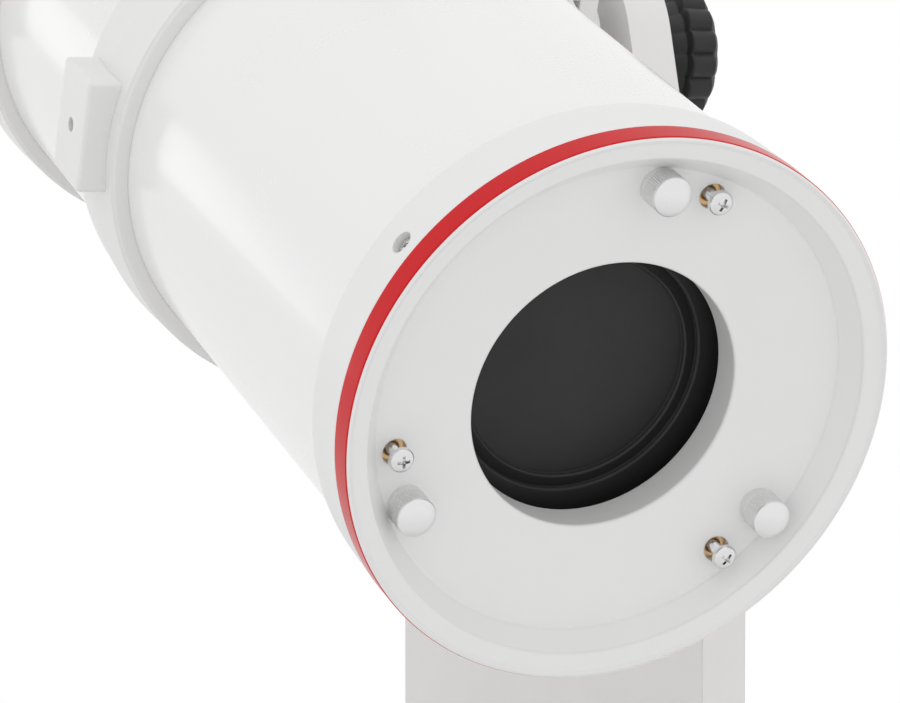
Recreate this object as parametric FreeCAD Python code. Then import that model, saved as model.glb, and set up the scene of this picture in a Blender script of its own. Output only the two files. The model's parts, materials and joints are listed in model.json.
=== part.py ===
import FreeCAD, Part
import math
import os

# Tabletop reflecting telescope: a white Newtonian tube held in two hinged rings, carried by
# one arm on a round turntable.  Millimetres, +Z up, floor at Z = 0.
#
# The azimuth axis is the Z axis.  The tube points along +Y, lifted by rest_altitude, and the
# arm stands on its +X side.  Tube pieces are drawn with the tube lying along +Y: x points
# to the arm, y runs from the rear rim to the front, z points up.  Angles round the tube
# run from +x towards +z.

# ---- optical tube
tube_outer_r = 87.6
tube_wall = 1.2
tube_length = 690.0
rest_altitude = 21.0
aperture_r = 75.0
focal_length = 750.0
tube_roll = -3.0

# ---- rear cell and front end ring
cell_wall = 3.4
cell_skirt_end = 30.3
cell_lip_width = 7.5
cell_plate_depth = 14.0
cell_plate_thickness = 12.3
cell_hole_r = 45.0
tube_socket_depth = 11.0
band_start = 1.6
band_width = 8.8
band_depth = 0.9
front_ring_length = 19.0
socket_gap = 0.1

# ---- collimation
collimation_circle_r = 72.0
knob_r = 6.5
knob_height = 15.4
knob_dome = 2.4
collimation_stud_r = 2.5
lock_screw_turn = -15.25
lock_head_r = 4.1
lock_head_height = 3.0
lock_head_standoff = 11.6
lock_shank_r = 2.0
insert_outer_r = 4.2
insert_inner_r = 3.0
insert_depth = 8.0
insert_proud = 0.7
mirror_cell_gap = 8.0
mirror_cell_thickness = 9.0
mirror_cell_edge_gap = 5.0
mirror_thickness = 20.0
mirror_seat = 2.0
lock_tip_gap = 0.4

# ---- radial screws of the rear cell
side_screw_along = 17.5
side_screw_turn = 60.0
side_screw_r = 1.8
side_screw_head_r = 3.2
side_recess_r = 4.0

# ---- tube rings
ring_width = 40.0
ring_rear_along = 221.0
ring_spacing = 157.0
ring_thickness = 5.2
ring_crown = 1.5
liner_thickness = 1.5
liner_gap = 0.1
ring_split_gap = 0.4
ring_pad_rise = 5.6
boss_height = 40.5
boss_rise = 3.2
boss_length = 28.0
boss_proud = 8.6
boss_hole_r = 2.55
boss_hole_depth = 11.0
lug_thickness = 12.0
lug_margin = 7.5
lug_length = 20.0
clamp_stud_r = 3.0
clamp_knob_r = 12.0
clamp_knob_length = 18.0
clamp_notch_r = 3.6
hinge_barrel_r = 6.0
hinge_pin_r = 2.5
hinge_length = 30.0
hinge_middle = 12.0

# ---- dovetail, saddle and altitude bearing
pivot_along = 326.0
dovetail_thickness = 12.0
dovetail_base_width = 44.0
dovetail_top_width = 37.0
dovetail_length = 236.0
saddle_length = 70.0
saddle_floor = 7.7
saddle_wall = 11.0
jaw_width = 9.0
jaw_travel = 2.5
hub_r = 34.0
hub_thickness = 8.0
neck_r = 14.0
neck_length = 7.0
altitude_bolt_r = 5.0
neck_washer = 2.7
arm_thickness = 18.0
arm_bush_r = 8.0
outer_washer = 2.0
knob_rim_r = 28.2
knob_scallops = 16
knob_scallop_depth = 1.3
knob_rim_width = 13.5
knob_taper_length = 12.0
knob_neck_r = 17.0
knob_web = 5.5
scallop_share = 0.62
altitude_head_r = 9.0
altitude_head_start = 1.0
altitude_head_end = 4.5
clamp_screw_r = 3.0
clamp_grip_r = 10.0
clamp_grip_length = 14.5
ring_bolt_r = 3.0
ring_bolt_head_r = 5.2
ring_bolt_head = 5.4
ring_bolt_offset = 9.0
jaw_lap = 3.0

# ---- arm and round base
arm_rear = 97.0
arm_front = 181.0
arm_rear_straight = 160.0
arm_front_straight = 116.0
arm_top_r = 36.0
rear_swing_clearance = 12.0
azimuth_offset = 20.0
board_r = 218.0
board_thickness = 18.0
foot_height = 24.0
foot_r = 22.0
foot_inset = 34.0
pad_r = 13.0
pad_thickness = 3.0
pad_circle_r = 150.0
cleat_height = 38.0
cleat_width = 24.0
cleat_inset = 12.0
azimuth_bolt_r = 5.0
azimuth_bush_r = 9.0
wood_screw_r = 2.5
wood_screw_head_r = 4.8
wood_screw_head = 3.2
foot_screw_reach = 12.0
foot_pocket_depth = 5.0
foot_head_start = 1.2
foot_edge = 3.0
blind_hole_extra = 0.5
arm_screw_inset = 30.0
arm_screw_length = 62.0
arm_screw_sink = 0.3
cleat_screw_offset = 18.0
cleat_screw_reach = 12.0
bolt_head_r = 8.5
bolt_head_height = 6.5
bolt_pocket_r = 10.0
bolt_pocket_depth = 7.0
bolt_end_rise = 18.0
nut_corner_r = 9.2
nut_height = 9.0
washer_r = 11.0
washer_thickness = 1.8
bushing_flange_r = 16.2
bushing_flange = 3.0

# ---- focuser, spider and finder shoe
focuser_along = 600.0
focuser_angle = 135.0
focuser_base_size = 84.0
focuser_base_height = 14.0
focuser_body_height = 46.0
drawtube_r = 28.5
drawtube_wall = 2.2
drawtube_length = 100.0
drawtube_inside = 8.0
eyepiece_bore_r = 15.9
adapter_length = 26.0
adapter_r = 26.0
focus_shaft_r = 3.0
cradle_half_width = 24.0
flat_depth = 1.2
focus_knob_r = 18.0
focus_knob_width = 15.0
thumb_screw_r = 2.0
thumb_head_r = 5.0
vane_thickness = 0.8
vane_depth = 16.0
vane_screw_r = 2.0
vane_screw_head_r = 4.4
spider_hub_r = 15.0
spider_hub_length = 22.0
secondary_r = 22.0
secondary_thickness = 7.0
spider_setback = 30.0
secondary_stem_r = 2.5
secondary_screw_r = 1.5
secondary_screw_circle = 9.0
base_screw_r = 2.0
base_screw_head_r = 3.6
base_screw_inset = 9.0
flat_half_width = 9.0
adapter_height = 12.0
adapter_screw_drop = 6.0
stem_gap = 3.0
finder_shoe_angle = 95.0
finder_shoe_length = 46.0
finder_shoe_width = 34.0
finder_shoe_setback = 10.0
finder_floor = 5.0
finder_rail_height = 10.0
finder_rail_top = 9.0
finder_rail_foot = 6.0

# ---- fits between pieces that move on each other
running_gap = 0.06
free_gap = 0.3
press_gap = 0.02

# ---- places that follow from the sizes above
cell_plate_front = cell_plate_depth + cell_plate_thickness
mirror_cell_back = cell_plate_front + mirror_cell_gap
mirror_cell_front = mirror_cell_back + mirror_cell_thickness
cell_outer_r = tube_outer_r + cell_wall
cell_lip_inner_r = cell_outer_r - cell_lip_width
mirror_cell_r = tube_outer_r - tube_wall - mirror_cell_edge_gap
mirror_back = mirror_cell_front + mirror_seat
mirror_front = mirror_back + mirror_thickness
tube_rear = tube_socket_depth + socket_gap
tube_front = tube_length - tube_socket_depth - socket_gap
knob_angles = [90.0 + tube_roll + 120.0 * k for k in range(3)]
lock_angles = [a + lock_screw_turn for a in knob_angles]
side_angles = [a + side_screw_turn for a in knob_angles]
ring_inner_r = tube_outer_r + liner_gap + liner_thickness
ring_edge_r = ring_inner_r + ring_thickness - ring_crown
ring_outer_r = ring_inner_r + ring_thickness
ring_middles = [ring_rear_along + ring_width / 2, ring_rear_along + ring_spacing + ring_width / 2]
clamp_z = ring_outer_r + clamp_knob_r + 0.6
lug_top = clamp_z + lug_margin
hinge_z = -(ring_outer_r + hinge_barrel_r + 0.7)
ring_pad_face = ring_outer_r + ring_pad_rise
boss_face = ring_outer_r + boss_proud
dovetail_face = ring_pad_face + dovetail_thickness
saddle_inner = dovetail_face + free_gap
hub_inner = saddle_inner + saddle_floor
hub_outer = hub_inner + hub_thickness
neck_end = hub_outer + neck_length
arm_face = neck_end + free_gap + neck_washer
arm_outer = arm_face + arm_thickness
knob_inner = arm_outer + outer_washer + free_gap
knob_rim_inner = knob_inner + knob_taper_length
knob_outer = knob_rim_inner + knob_rim_width
ground_top = foot_height + board_thickness
turn_bottom = ground_top + pad_thickness + free_gap
turn_top = turn_bottom + board_thickness
pivot_rise = math.hypot(pivot_along, cell_outer_r) + rear_swing_clearance
pivot_z = turn_top + pivot_rise
tube_x = -azimuth_offset
half_span = tube_length / 2 - pivot_along
pivot_y = -half_span * math.cos(math.radians(rest_altitude))


def vec(x, y, z):
    return FreeCAD.Vector(x, y, z)


def polar(radius, degrees, along):
    turn = math.radians(degrees)
    return vec(radius * math.cos(turn), along, radius * math.sin(turn))


def rod(radius, start, end):
    """A round bar between two points."""
    return Part.makeCylinder(radius, (end - start).Length, start, end - start)


def block(x_range, y_range, z_range):
    size = [high - low for low, high in (x_range, y_range, z_range)]
    return Part.makeBox(size[0], size[1], size[2], vec(x_range[0], y_range[0], z_range[0]))


def outline_face(points):
    return Part.Face(Part.makePolygon(points + points[:1]))


def lathe(outline):
    """Turn an outline of (radius, along) points about the tube axis."""
    face = outline_face([vec(radius, along, 0) for radius, along in outline])
    return face.revolve(vec(0, 0, 0), vec(0, 1, 0), 360)


def sleeve(inner_r, outer_r, start, end):
    return lathe([(inner_r, start), (outer_r, start), (outer_r, end), (inner_r, end)])


def turned_x(outline):
    """Turn an outline of (distance along x, radius) points about the x axis."""
    face = outline_face([vec(along, radius, 0) for along, radius in outline])
    return face.revolve(vec(0, 0, 0), vec(1, 0, 0), 360)


def turned_z(outline):
    """Turn an outline of (radius, height) points about the z axis."""
    face = outline_face([vec(radius, 0, height) for radius, height in outline])
    return face.revolve(vec(0, 0, 0), vec(0, 0, 1), 360)


def spun(shape, degrees):
    """A copy turned about the tube axis, from +x towards +z."""
    turned = shape.copy()
    turned.rotate(vec(0, 0, 0), vec(0, -1, 0), degrees)
    return turned


def moved(shape, x, y, z):
    shifted = shape.copy()
    shifted.translate(vec(x, y, z))
    return shifted


def joined(shapes):
    return shapes[0].fuse(shapes[1:]).removeSplitter()


def group(shapes):
    return Part.makeCompound(shapes)


def on_tube(shape):
    """Carry a piece drawn on the level tube to its place on the tilted tube."""
    placed = moved(shape, 0, -pivot_along, 0)
    placed.rotate(vec(0, 0, 0), vec(1, 0, 0), rest_altitude)
    placed.translate(vec(tube_x, pivot_y, pivot_z))
    return placed


def on_pivot(shape):
    """Carry a piece drawn about the altitude axis to its place, without tilting it."""
    return moved(shape, tube_x, pivot_y, pivot_z)


# ---- round base ---------------------------------------------------------------
def foot_places():
    circle = board_r - foot_inset
    turns = [math.radians(90 + 120 * k) for k in range(3)]
    return [(circle * math.cos(turn), circle * math.sin(turn)) for turn in turns]


def ground_board():
    board = Part.makeCylinder(board_r, board_thickness, vec(0, 0, foot_height))
    bolt_hole = Part.makeCylinder(azimuth_bolt_r + press_gap, board_thickness, vec(0, 0, foot_height))
    head_pocket = Part.makeCylinder(bolt_pocket_r, bolt_pocket_depth, vec(0, 0, foot_height))
    depth = foot_screw_reach + blind_hole_extra
    pilots = [Part.makeCylinder(wood_screw_r + press_gap, depth, vec(x, y, foot_height)) for x, y in foot_places()]
    return board.cut([bolt_hole, head_pocket] + pilots)


def ground_feet():
    bore = wood_screw_r + press_gap
    pocket = wood_screw_head_r + 0.2
    outline = [(bore, foot_pocket_depth), (pocket, foot_pocket_depth), (pocket, 0), (foot_r - foot_edge, 0)]
    outline += [(foot_r - foot_edge / 3, foot_edge * 2 / 3), (foot_r, foot_height), (bore, foot_height)]
    foot = turned_z(outline)
    return group([moved(foot, x, y, 0) for x, y in foot_places()])


def foot_screws():
    head_end = foot_pocket_depth - 0.1
    tip = foot_height + foot_screw_reach
    outline = [(0, foot_head_start), (wood_screw_head_r, foot_head_start), (wood_screw_head_r, head_end)]
    outline += [(wood_screw_r, head_end), (wood_screw_r, tip), (0, tip)]
    screw = turned_z(outline)
    return group([moved(screw, x, y, 0) for x, y in foot_places()])


def azimuth_pads():
    pads = []
    for k in range(3):
        turn = math.radians(30 + 120 * k)
        place = vec(pad_circle_r * math.cos(turn), pad_circle_r * math.sin(turn), ground_top)
        pads.append(Part.makeCylinder(pad_r, pad_thickness, place))
    return group(pads)


def azimuth_bolt():
    head_top = foot_height + bolt_pocket_depth
    head = Part.makeCylinder(bolt_head_r, bolt_head_height, vec(0, 0, head_top - bolt_head_height))
    shank = Part.makeCylinder(azimuth_bolt_r, turn_top + bolt_end_rise - head_top, vec(0, 0, head_top))
    return joined([head, shank])


def azimuth_nut():
    bottom = turn_top + bushing_flange + free_gap
    nut_bottom = bottom + washer_thickness
    washer = Part.makeCylinder(washer_r, washer_thickness, vec(0, 0, bottom))
    turns = [math.radians(60 * k) for k in range(6)]
    corners = [vec(nut_corner_r * math.cos(turn), nut_corner_r * math.sin(turn), nut_bottom) for turn in turns]
    nut = outline_face(corners).extrude(vec(0, 0, nut_height))
    bore = Part.makeCylinder(azimuth_bolt_r + press_gap, nut_height * 2, vec(0, 0, bottom - 1))
    return joined([washer, nut]).cut(bore)


def azimuth_bushing():
    inner = azimuth_bolt_r + running_gap
    flange_top = turn_top + bushing_flange
    outline = [(inner, turn_bottom), (azimuth_bush_r, turn_bottom), (azimuth_bush_r, turn_top)]
    outline += [(bushing_flange_r, turn_top), (bushing_flange_r, flange_top), (inner, flange_top)]
    return turned_z(outline)


def arm_screw_rows():
    """Places along y of the four screws in the foot of the arm."""
    start = pivot_y - arm_rear + arm_screw_inset
    step = (arm_rear + arm_front - 2 * arm_screw_inset) / 3
    return [start + step * k for k in range(4)]


def arm_foot_screws():
    middle = tube_x + arm_face + arm_thickness / 2
    taper_end = wood_screw_head + wood_screw_head_r - wood_screw_r - 1
    outline = [(0, arm_screw_sink), (wood_screw_head_r, arm_screw_sink), (wood_screw_head_r, wood_screw_head)]
    outline += [(wood_screw_r, taper_end), (wood_screw_r, arm_screw_length), (0, arm_screw_length)]
    screw = turned_z(outline)
    return [moved(screw, middle, y, turn_bottom) for y in arm_screw_rows()]


def cleat_screws():
    start = tube_x + arm_face - cleat_width
    end = tube_x + arm_face + cleat_screw_reach
    height = turn_top + cleat_height / 2
    screws = []
    for row in arm_screw_rows():
        y = row + cleat_screw_offset
        shank = rod(wood_screw_r, vec(start - 1.5, y, height), vec(end, y, height))
        head = rod(wood_screw_head_r, vec(start - wood_screw_r, y, height), vec(start, y, height))
        screws.append(joined([head, shank]))
    return screws


def arm_screws():
    return group(arm_foot_screws() + cleat_screws())


def screw_holes(grow):
    """The space that the arm screws take, a little larger all round."""
    holes = []
    middle = tube_x + arm_face + arm_thickness / 2
    start = tube_x + arm_face - cleat_width
    end = tube_x + arm_face + cleat_screw_reach + arm_screw_sink
    height = turn_top + cleat_height / 2
    head_depth = wood_screw_head + wood_screw_head_r - wood_screw_r
    for row in arm_screw_rows():
        y = row + cleat_screw_offset
        holes.append(Part.makeCylinder(wood_screw_r + grow, arm_screw_length + 1, vec(middle, row, turn_bottom)))
        holes.append(Part.makeCylinder(wood_screw_head_r + grow, head_depth, vec(middle, row, turn_bottom)))
        holes.append(rod(wood_screw_r + grow, vec(start, y, height), vec(end, y, height)))
    return holes


def azimuth_board():
    board = Part.makeCylinder(board_r, board_thickness, vec(0, 0, turn_bottom))
    bush_hole = Part.makeCylinder(azimuth_bush_r + press_gap, board_thickness, vec(0, 0, turn_bottom))
    return board.cut([bush_hole] + screw_holes(press_gap))


def tangent_touch(corner_y, corner_z, side):
    """Where the line from a corner of the arm touches its round top."""
    reach = math.hypot(corner_y, corner_z)
    toward = math.atan2(corner_z, corner_y)
    swing = math.acos(arm_top_r / reach)
    turn = toward - side * swing
    return vec(0, arm_top_r * math.cos(turn), arm_top_r * math.sin(turn))


def arm_board():
    foot = -pivot_rise
    rear_break = foot + arm_rear_straight
    front_break = foot + arm_front_straight
    rear_touch = tangent_touch(-arm_rear, rear_break, 1)
    front_touch = tangent_touch(arm_front, front_break, -1)
    corners = [rear_touch, vec(0, -arm_rear, rear_break), vec(0, -arm_rear, foot), vec(0, arm_front, foot)]
    corners += [vec(0, arm_front, front_break), front_touch]
    sides = Part.makePolygon(corners)
    crown = Part.Arc(front_touch, vec(0, 0, arm_top_r), rear_touch).toShape()
    board = Part.Face(Part.Wire(sides.Edges + [crown])).extrude(vec(arm_thickness, 0, 0))
    board = on_pivot(moved(board, arm_face, 0, 0))
    bush_hole = on_pivot(rod(arm_bush_r + press_gap, vec(arm_face - 1, 0, 0), vec(arm_outer + 1, 0, 0)))
    return board.cut([bush_hole] + screw_holes(press_gap))


def arm_cleat():
    x_end = tube_x + arm_face
    y_range = (pivot_y - arm_rear + cleat_inset, pivot_y + arm_front - cleat_inset)
    cleat = block((x_end - cleat_width, x_end), y_range, (turn_top, turn_top + cleat_height))
    return cleat.cut(screw_holes(press_gap))


# ---- altitude bearing -----------------------------------------------------------
def altitude_bushing():
    return on_pivot(turned_x([(arm_face, altitude_bolt_r + running_gap), (arm_face, arm_bush_r),
                              (arm_outer, arm_bush_r), (arm_outer, altitude_bolt_r + running_gap)]))


def friction_washers():
    inner = rod(neck_r, vec(neck_end + free_gap, 0, 0), vec(arm_face, 0, 0))
    outer = rod(knob_neck_r, vec(arm_outer, 0, 0), vec(arm_outer + outer_washer, 0, 0))
    bore = rod(altitude_bolt_r + running_gap, vec(neck_end, 0, 0), vec(knob_inner, 0, 0))
    return group([on_pivot(inner.cut(bore)), on_pivot(outer.cut(bore))])


def altitude_hub():
    outline = [(hub_inner, altitude_bolt_r + press_gap), (hub_inner, hub_r), (hub_outer - 2, hub_r)]
    outline += [(hub_outer, hub_r - 2), (hub_outer, neck_r), (neck_end, neck_r)]
    outline += [(neck_end, altitude_bolt_r + press_gap)]
    return on_pivot(turned_x(outline))


def altitude_bolt():
    head_end = saddle_inner + altitude_head_end
    head = rod(altitude_head_r, vec(saddle_inner + altitude_head_start, 0, 0), vec(head_end, 0, 0))
    shank = rod(altitude_bolt_r, vec(head_end, 0, 0), vec(knob_outer - knob_web - 0.5, 0, 0))
    return on_pivot(joined([head, shank]))


def altitude_knob():
    outline = [(knob_inner, altitude_bolt_r + running_gap), (knob_inner, knob_neck_r)]
    outline += [(knob_rim_inner, knob_rim_r - 4), (knob_rim_inner, knob_rim_r - 1)]
    outline += [(knob_rim_inner + 1, knob_rim_r)]
    outline += [(knob_outer - 2, knob_rim_r), (knob_outer, knob_rim_r - 2), (knob_outer, 0)]
    outline += [(knob_outer - knob_web, 0), (knob_outer - knob_web, altitude_bolt_r + running_gap)]
    knob = turned_x(outline)
    notch_r = math.pi * knob_rim_r / knob_scallops * scallop_share
    reach = knob_rim_r + notch_r - knob_scallop_depth
    notches = []
    for k in range(knob_scallops):
        turn = 2 * math.pi * (k + 0.5) / knob_scallops
        place = vec(knob_rim_inner - 1, reach * math.cos(turn), reach * math.sin(turn))
        notches.append(Part.makeCylinder(notch_r, knob_rim_width + 2, place, vec(1, 0, 0)))
    return on_pivot(knob.cut(notches))


# ---- saddle and dovetail, drawn at the level tube -----------------------------------
def dovetail_outline(grow):
    """Section of the bar in x and z, widest at the face that lies on the ring pads."""
    wide = dovetail_base_width / 2 + grow
    slim = dovetail_top_width / 2 + grow
    return [vec(ring_pad_face, 0, -slim), vec(ring_pad_face, 0, slim), vec(dovetail_face, 0, wide),
            vec(dovetail_face, 0, -wide)]


def dovetail_bar():
    start = sum(ring_middles) / 2 - dovetail_length / 2
    face = outline_face(dovetail_outline(0))
    bar = moved(face.extrude(vec(0, dovetail_length, 0)), 0, start, 0)
    return on_tube(bar.cut(dovetail_bolt_solids(press_gap)))


def dovetail_bolt_solids(grow):
    bolts = []
    for middle in ring_middles:
        for side in (-1, 1):
            place = middle + side * ring_bolt_offset
            head_end = dovetail_face - 0.6
            shank = rod(ring_bolt_r + grow, vec(ring_outer_r + 1, place, 0), vec(dovetail_face - 1, place, 0))
            head = rod(ring_bolt_head_r + grow, vec(head_end - ring_bolt_head, place, 0), vec(head_end, place, 0))
            bolts.append(joined([shank, head]))
    return bolts


def dovetail_bolts():
    return on_tube(group(dovetail_bolt_solids(0)))


def jaw_edge(x):
    """Half width of the dovetail at a distance x from the tube axis."""
    share = (x - ring_pad_face) / dovetail_thickness
    return (dovetail_top_width + (dovetail_base_width - dovetail_top_width) * share) / 2


def jaw_solid(side, gap, width):
    """A jaw that laps the sloping edge of the dovetail."""
    x_low = ring_pad_face + jaw_lap
    x_high = saddle_inner
    low = side * (jaw_edge(x_low) + gap)
    high = side * (jaw_edge(x_high) + gap)
    far = side * (jaw_edge(x_high) + gap + width)
    corners = [vec(x_low, 0, low), vec(x_low, 0, far), vec(x_high, 0, far), vec(x_high, 0, high)]
    solid = outline_face(corners).extrude(vec(0, saddle_length, 0))
    return moved(solid, 0, pivot_along - saddle_length / 2, 0)


def wall_start():
    """Where the saddle wall that holds the clamp screw begins, along z."""
    return jaw_edge(saddle_inner) + free_gap + jaw_width + jaw_travel + free_gap


def saddle_middle_x():
    return (ring_pad_face + jaw_lap + saddle_inner) / 2


def saddle_base():
    y_range = (pivot_along - saddle_length / 2, pivot_along + saddle_length / 2)
    low = -(jaw_edge(saddle_inner) + free_gap + jaw_width)
    wall_end = wall_start() + saddle_wall
    floor = block((saddle_inner, hub_inner), y_range, (low, wall_end))
    wall = block((ring_pad_face + jaw_lap, saddle_inner), y_range, (wall_start(), wall_end))
    solid = joined([floor, jaw_solid(-1, free_gap, jaw_width), wall])
    outside = vec(saddle_inner - 1, pivot_along, 0)
    bolt_hole = rod(altitude_bolt_r + press_gap, outside, vec(hub_inner + 1, pivot_along, 0))
    head_hole = rod(altitude_head_r + press_gap, outside, vec(saddle_inner + altitude_head_end, pivot_along, 0))
    screw_hole = rod(clamp_screw_r + running_gap, vec(saddle_middle_x(), pivot_along, wall_start() - 1),
                     vec(saddle_middle_x(), pivot_along, wall_end + 1))
    return on_tube(solid.cut([bolt_hole, head_hole, screw_hole]))


def saddle_jaw():
    """The sliding jaw, cut back so that it clears the saddle floor."""
    y_range = (pivot_along - saddle_length, pivot_along + saddle_length)
    floor_clear = block((saddle_inner - free_gap, saddle_inner + 1), y_range, (0, wall_start()))
    return on_tube(jaw_solid(1, free_gap, jaw_width).cut(floor_clear))


def saddle_knob():
    grip_start = wall_start() + saddle_wall + jaw_travel
    x = saddle_middle_x()
    shank = rod(clamp_screw_r, vec(x, pivot_along, wall_start()), vec(x, pivot_along, grip_start + 0.5))
    grip = rod(clamp_grip_r, vec(x, pivot_along, grip_start), vec(x, pivot_along, grip_start + clamp_grip_length))
    reach = clamp_grip_r + 1.5
    notches = []
    for k in range(6):
        turn = 2 * math.pi * k / 6
        place = vec(x + reach * math.cos(turn), pivot_along + reach * math.sin(turn), grip_start - 0.5)
        notches.append(Part.makeCylinder(reach - clamp_grip_r + 1.5, clamp_grip_length + 1, place))
    return on_tube(joined([shank, grip.cut(notches)]))


# ---- hinged tube rings ----------------------------------------------------------------
def ring_band(middle):
    rear = middle - ring_width / 2
    front = middle + ring_width / 2
    outline = [(ring_inner_r, rear + 0.6), (ring_edge_r - 1.4, rear), (ring_edge_r, rear + 2.2)]
    outline += [(ring_outer_r, middle), (ring_edge_r, front - 2.2), (ring_edge_r - 1.4, front)]
    outline += [(ring_inner_r, front - 0.6)]
    return lathe(outline)


def half_space(side, middle):
    """A block that holds one side of a ring, short of the split by the split gap."""
    near = side * ring_split_gap
    far = side * 200
    return block((min(near, far), max(near, far)), (middle - 60, middle + 60), (-200, 200))


def knuckle(side, middle, length):
    """One knuckle of the ring hinge: a barrel and the web that ties it to its half of the ring."""
    y_range = (middle - length / 2, middle + length / 2)
    barrel = rod(hinge_barrel_r, vec(0, y_range[0], hinge_z), vec(0, y_range[1], hinge_z))
    web_end = side * hinge_barrel_r * 1.6
    web = block((min(side * ring_split_gap, web_end), max(side * ring_split_gap, web_end)), y_range,
                (hinge_z, -ring_edge_r + 2))
    keep_out = rod(ring_inner_r + 1, vec(0, middle - length, 0), vec(0, middle + length, 0))
    return barrel.fuse(web).cut(keep_out)


def ring_fixed_half(middle):
    half = ring_band(middle).common(half_space(1, middle))
    lug = block((ring_split_gap, lug_thickness), (middle - lug_length / 2, middle + lug_length / 2),
                (ring_edge_r - 3, lug_top))
    pad = block((ring_inner_r - 4, ring_pad_face), (middle - 18, middle + 18),
                (-dovetail_top_width / 2 - 3, dovetail_top_width / 2 + 3))
    pad = pad.cut(rod(ring_inner_r + 1, vec(0, middle - 60, 0), vec(0, middle + 60, 0)))
    solid = joined([half, lug, pad, knuckle(1, middle, hinge_middle)])
    bore = rod(ring_inner_r, vec(0, middle - 60, 0), vec(0, middle + 60, 0))
    stud_hole = rod(clamp_stud_r + 0.9, vec(0, middle, clamp_z), vec(lug_thickness - 1, middle, clamp_z))
    pin_hole = rod(hinge_pin_r + press_gap, vec(0, middle - 40, hinge_z), vec(0, middle + 40, hinge_z))
    pad_holes = [rod(ring_bolt_r + press_gap, vec(ring_outer_r + 1, place, 0), vec(ring_pad_face + 1, place, 0))
                 for place in (middle - ring_bolt_offset, middle + ring_bolt_offset)]
    return solid.cut([bore, stud_hole, pin_hole] + pad_holes)


def ring_swing_half(middle):
    half = ring_band(middle).common(half_space(-1, middle))
    lug = block((-lug_thickness, -ring_split_gap), (middle - lug_length / 2, middle + lug_length / 2),
                (ring_edge_r - 3, lug_top))
    boss = block((-boss_face, -ring_inner_r + 6), (middle - boss_length / 2, middle + boss_length / 2),
                 (boss_rise - boss_height / 2, boss_rise + boss_height / 2))
    ear_length = (hinge_length - hinge_middle) / 2 - free_gap
    ear_place = hinge_middle / 2 + free_gap + ear_length / 2
    ears = [knuckle(-1, middle + s * ear_place, ear_length) for s in (-1, 1)]
    solid = joined([half, lug, boss] + ears)
    bore = rod(ring_inner_r, vec(0, middle - 60, 0), vec(0, middle + 60, 0))
    hole = rod(boss_hole_r, vec(-boss_face - 1, middle, boss_rise),
               vec(-boss_face + boss_hole_depth, middle, boss_rise))
    stud_hole = rod(clamp_stud_r + free_gap, vec(-lug_thickness - 1, middle, clamp_z),
                    vec(0, middle, clamp_z))
    pin_hole = rod(hinge_pin_r + running_gap, vec(0, middle - 40, hinge_z), vec(0, middle + 40, hinge_z))
    return solid.cut([bore, hole, stud_hole, pin_hole])


def ring_hinge_pins():
    pins = []
    for middle in ring_middles:
        pin = rod(hinge_pin_r, vec(0, middle - hinge_length / 2 - 1, hinge_z),
                  vec(0, middle + hinge_length / 2 + 1, hinge_z))
        pins.append(pin)
    return on_tube(group(pins))


def liner_half(side, middle):
    reach = ring_width / 2 - 2
    strip = sleeve(tube_outer_r + liner_gap, ring_inner_r, middle - reach, middle + reach)
    return strip.common(half_space(side, middle))


def ring_clamp_knob(middle):
    grip_start = -lug_thickness - free_gap
    reach = clamp_knob_r + 2
    stud = rod(clamp_stud_r, vec(grip_start - 2, middle, clamp_z), vec(lug_thickness - 3, middle, clamp_z))
    grip = rod(clamp_knob_r, vec(grip_start - clamp_knob_length, middle, clamp_z),
               vec(grip_start, middle, clamp_z))
    notches = []
    for k in range(7):
        turn = 2 * math.pi * k / 7
        place = vec(grip_start + 1, middle + reach * math.cos(turn), clamp_z + reach * math.sin(turn))
        notches.append(Part.makeCylinder(clamp_notch_r, clamp_knob_length + 2, place, vec(-1, 0, 0)))
    return on_tube(joined([grip.cut(notches), stud]))


# ---- tube, rear cell and front end ring -----------------------------------------------
def side_shank(angle, grow):
    return rod(side_screw_r + grow, polar(tube_outer_r - 9, angle, side_screw_along),
               polar(tube_outer_r + 0.6, angle, side_screw_along))


def side_screw(angle):
    head = rod(side_screw_head_r, polar(tube_outer_r + 0.5, angle, side_screw_along),
               polar(tube_outer_r + 2.4, angle, side_screw_along))
    return joined([side_shank(angle, 0), head])


def main_tube():
    shell = sleeve(tube_outer_r - tube_wall, tube_outer_r, tube_rear, tube_front)
    cuts = [rod(side_screw_r + 0.4, polar(tube_outer_r - 6, a, side_screw_along),
                polar(tube_outer_r + 3, a, side_screw_along)) for a in side_angles]
    throat = rod(drawtube_r + 3, polar(tube_outer_r - 30, focuser_angle, focuser_along),
                 polar(tube_outer_r + 20, focuser_angle, focuser_along))
    cuts.append(throat)
    for angle in vane_angles():
        cuts.append(rod(vane_screw_r + 0.3, polar(tube_outer_r - 6, angle, spider_along()),
                        polar(tube_outer_r + 6, angle, spider_along())))
    return on_tube(shell.cut(cuts))


def end_socket(start, end):
    """The slot that the end of the tube slides into."""
    return sleeve(tube_outer_r - tube_wall - socket_gap, tube_outer_r + socket_gap, start, end)


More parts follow.
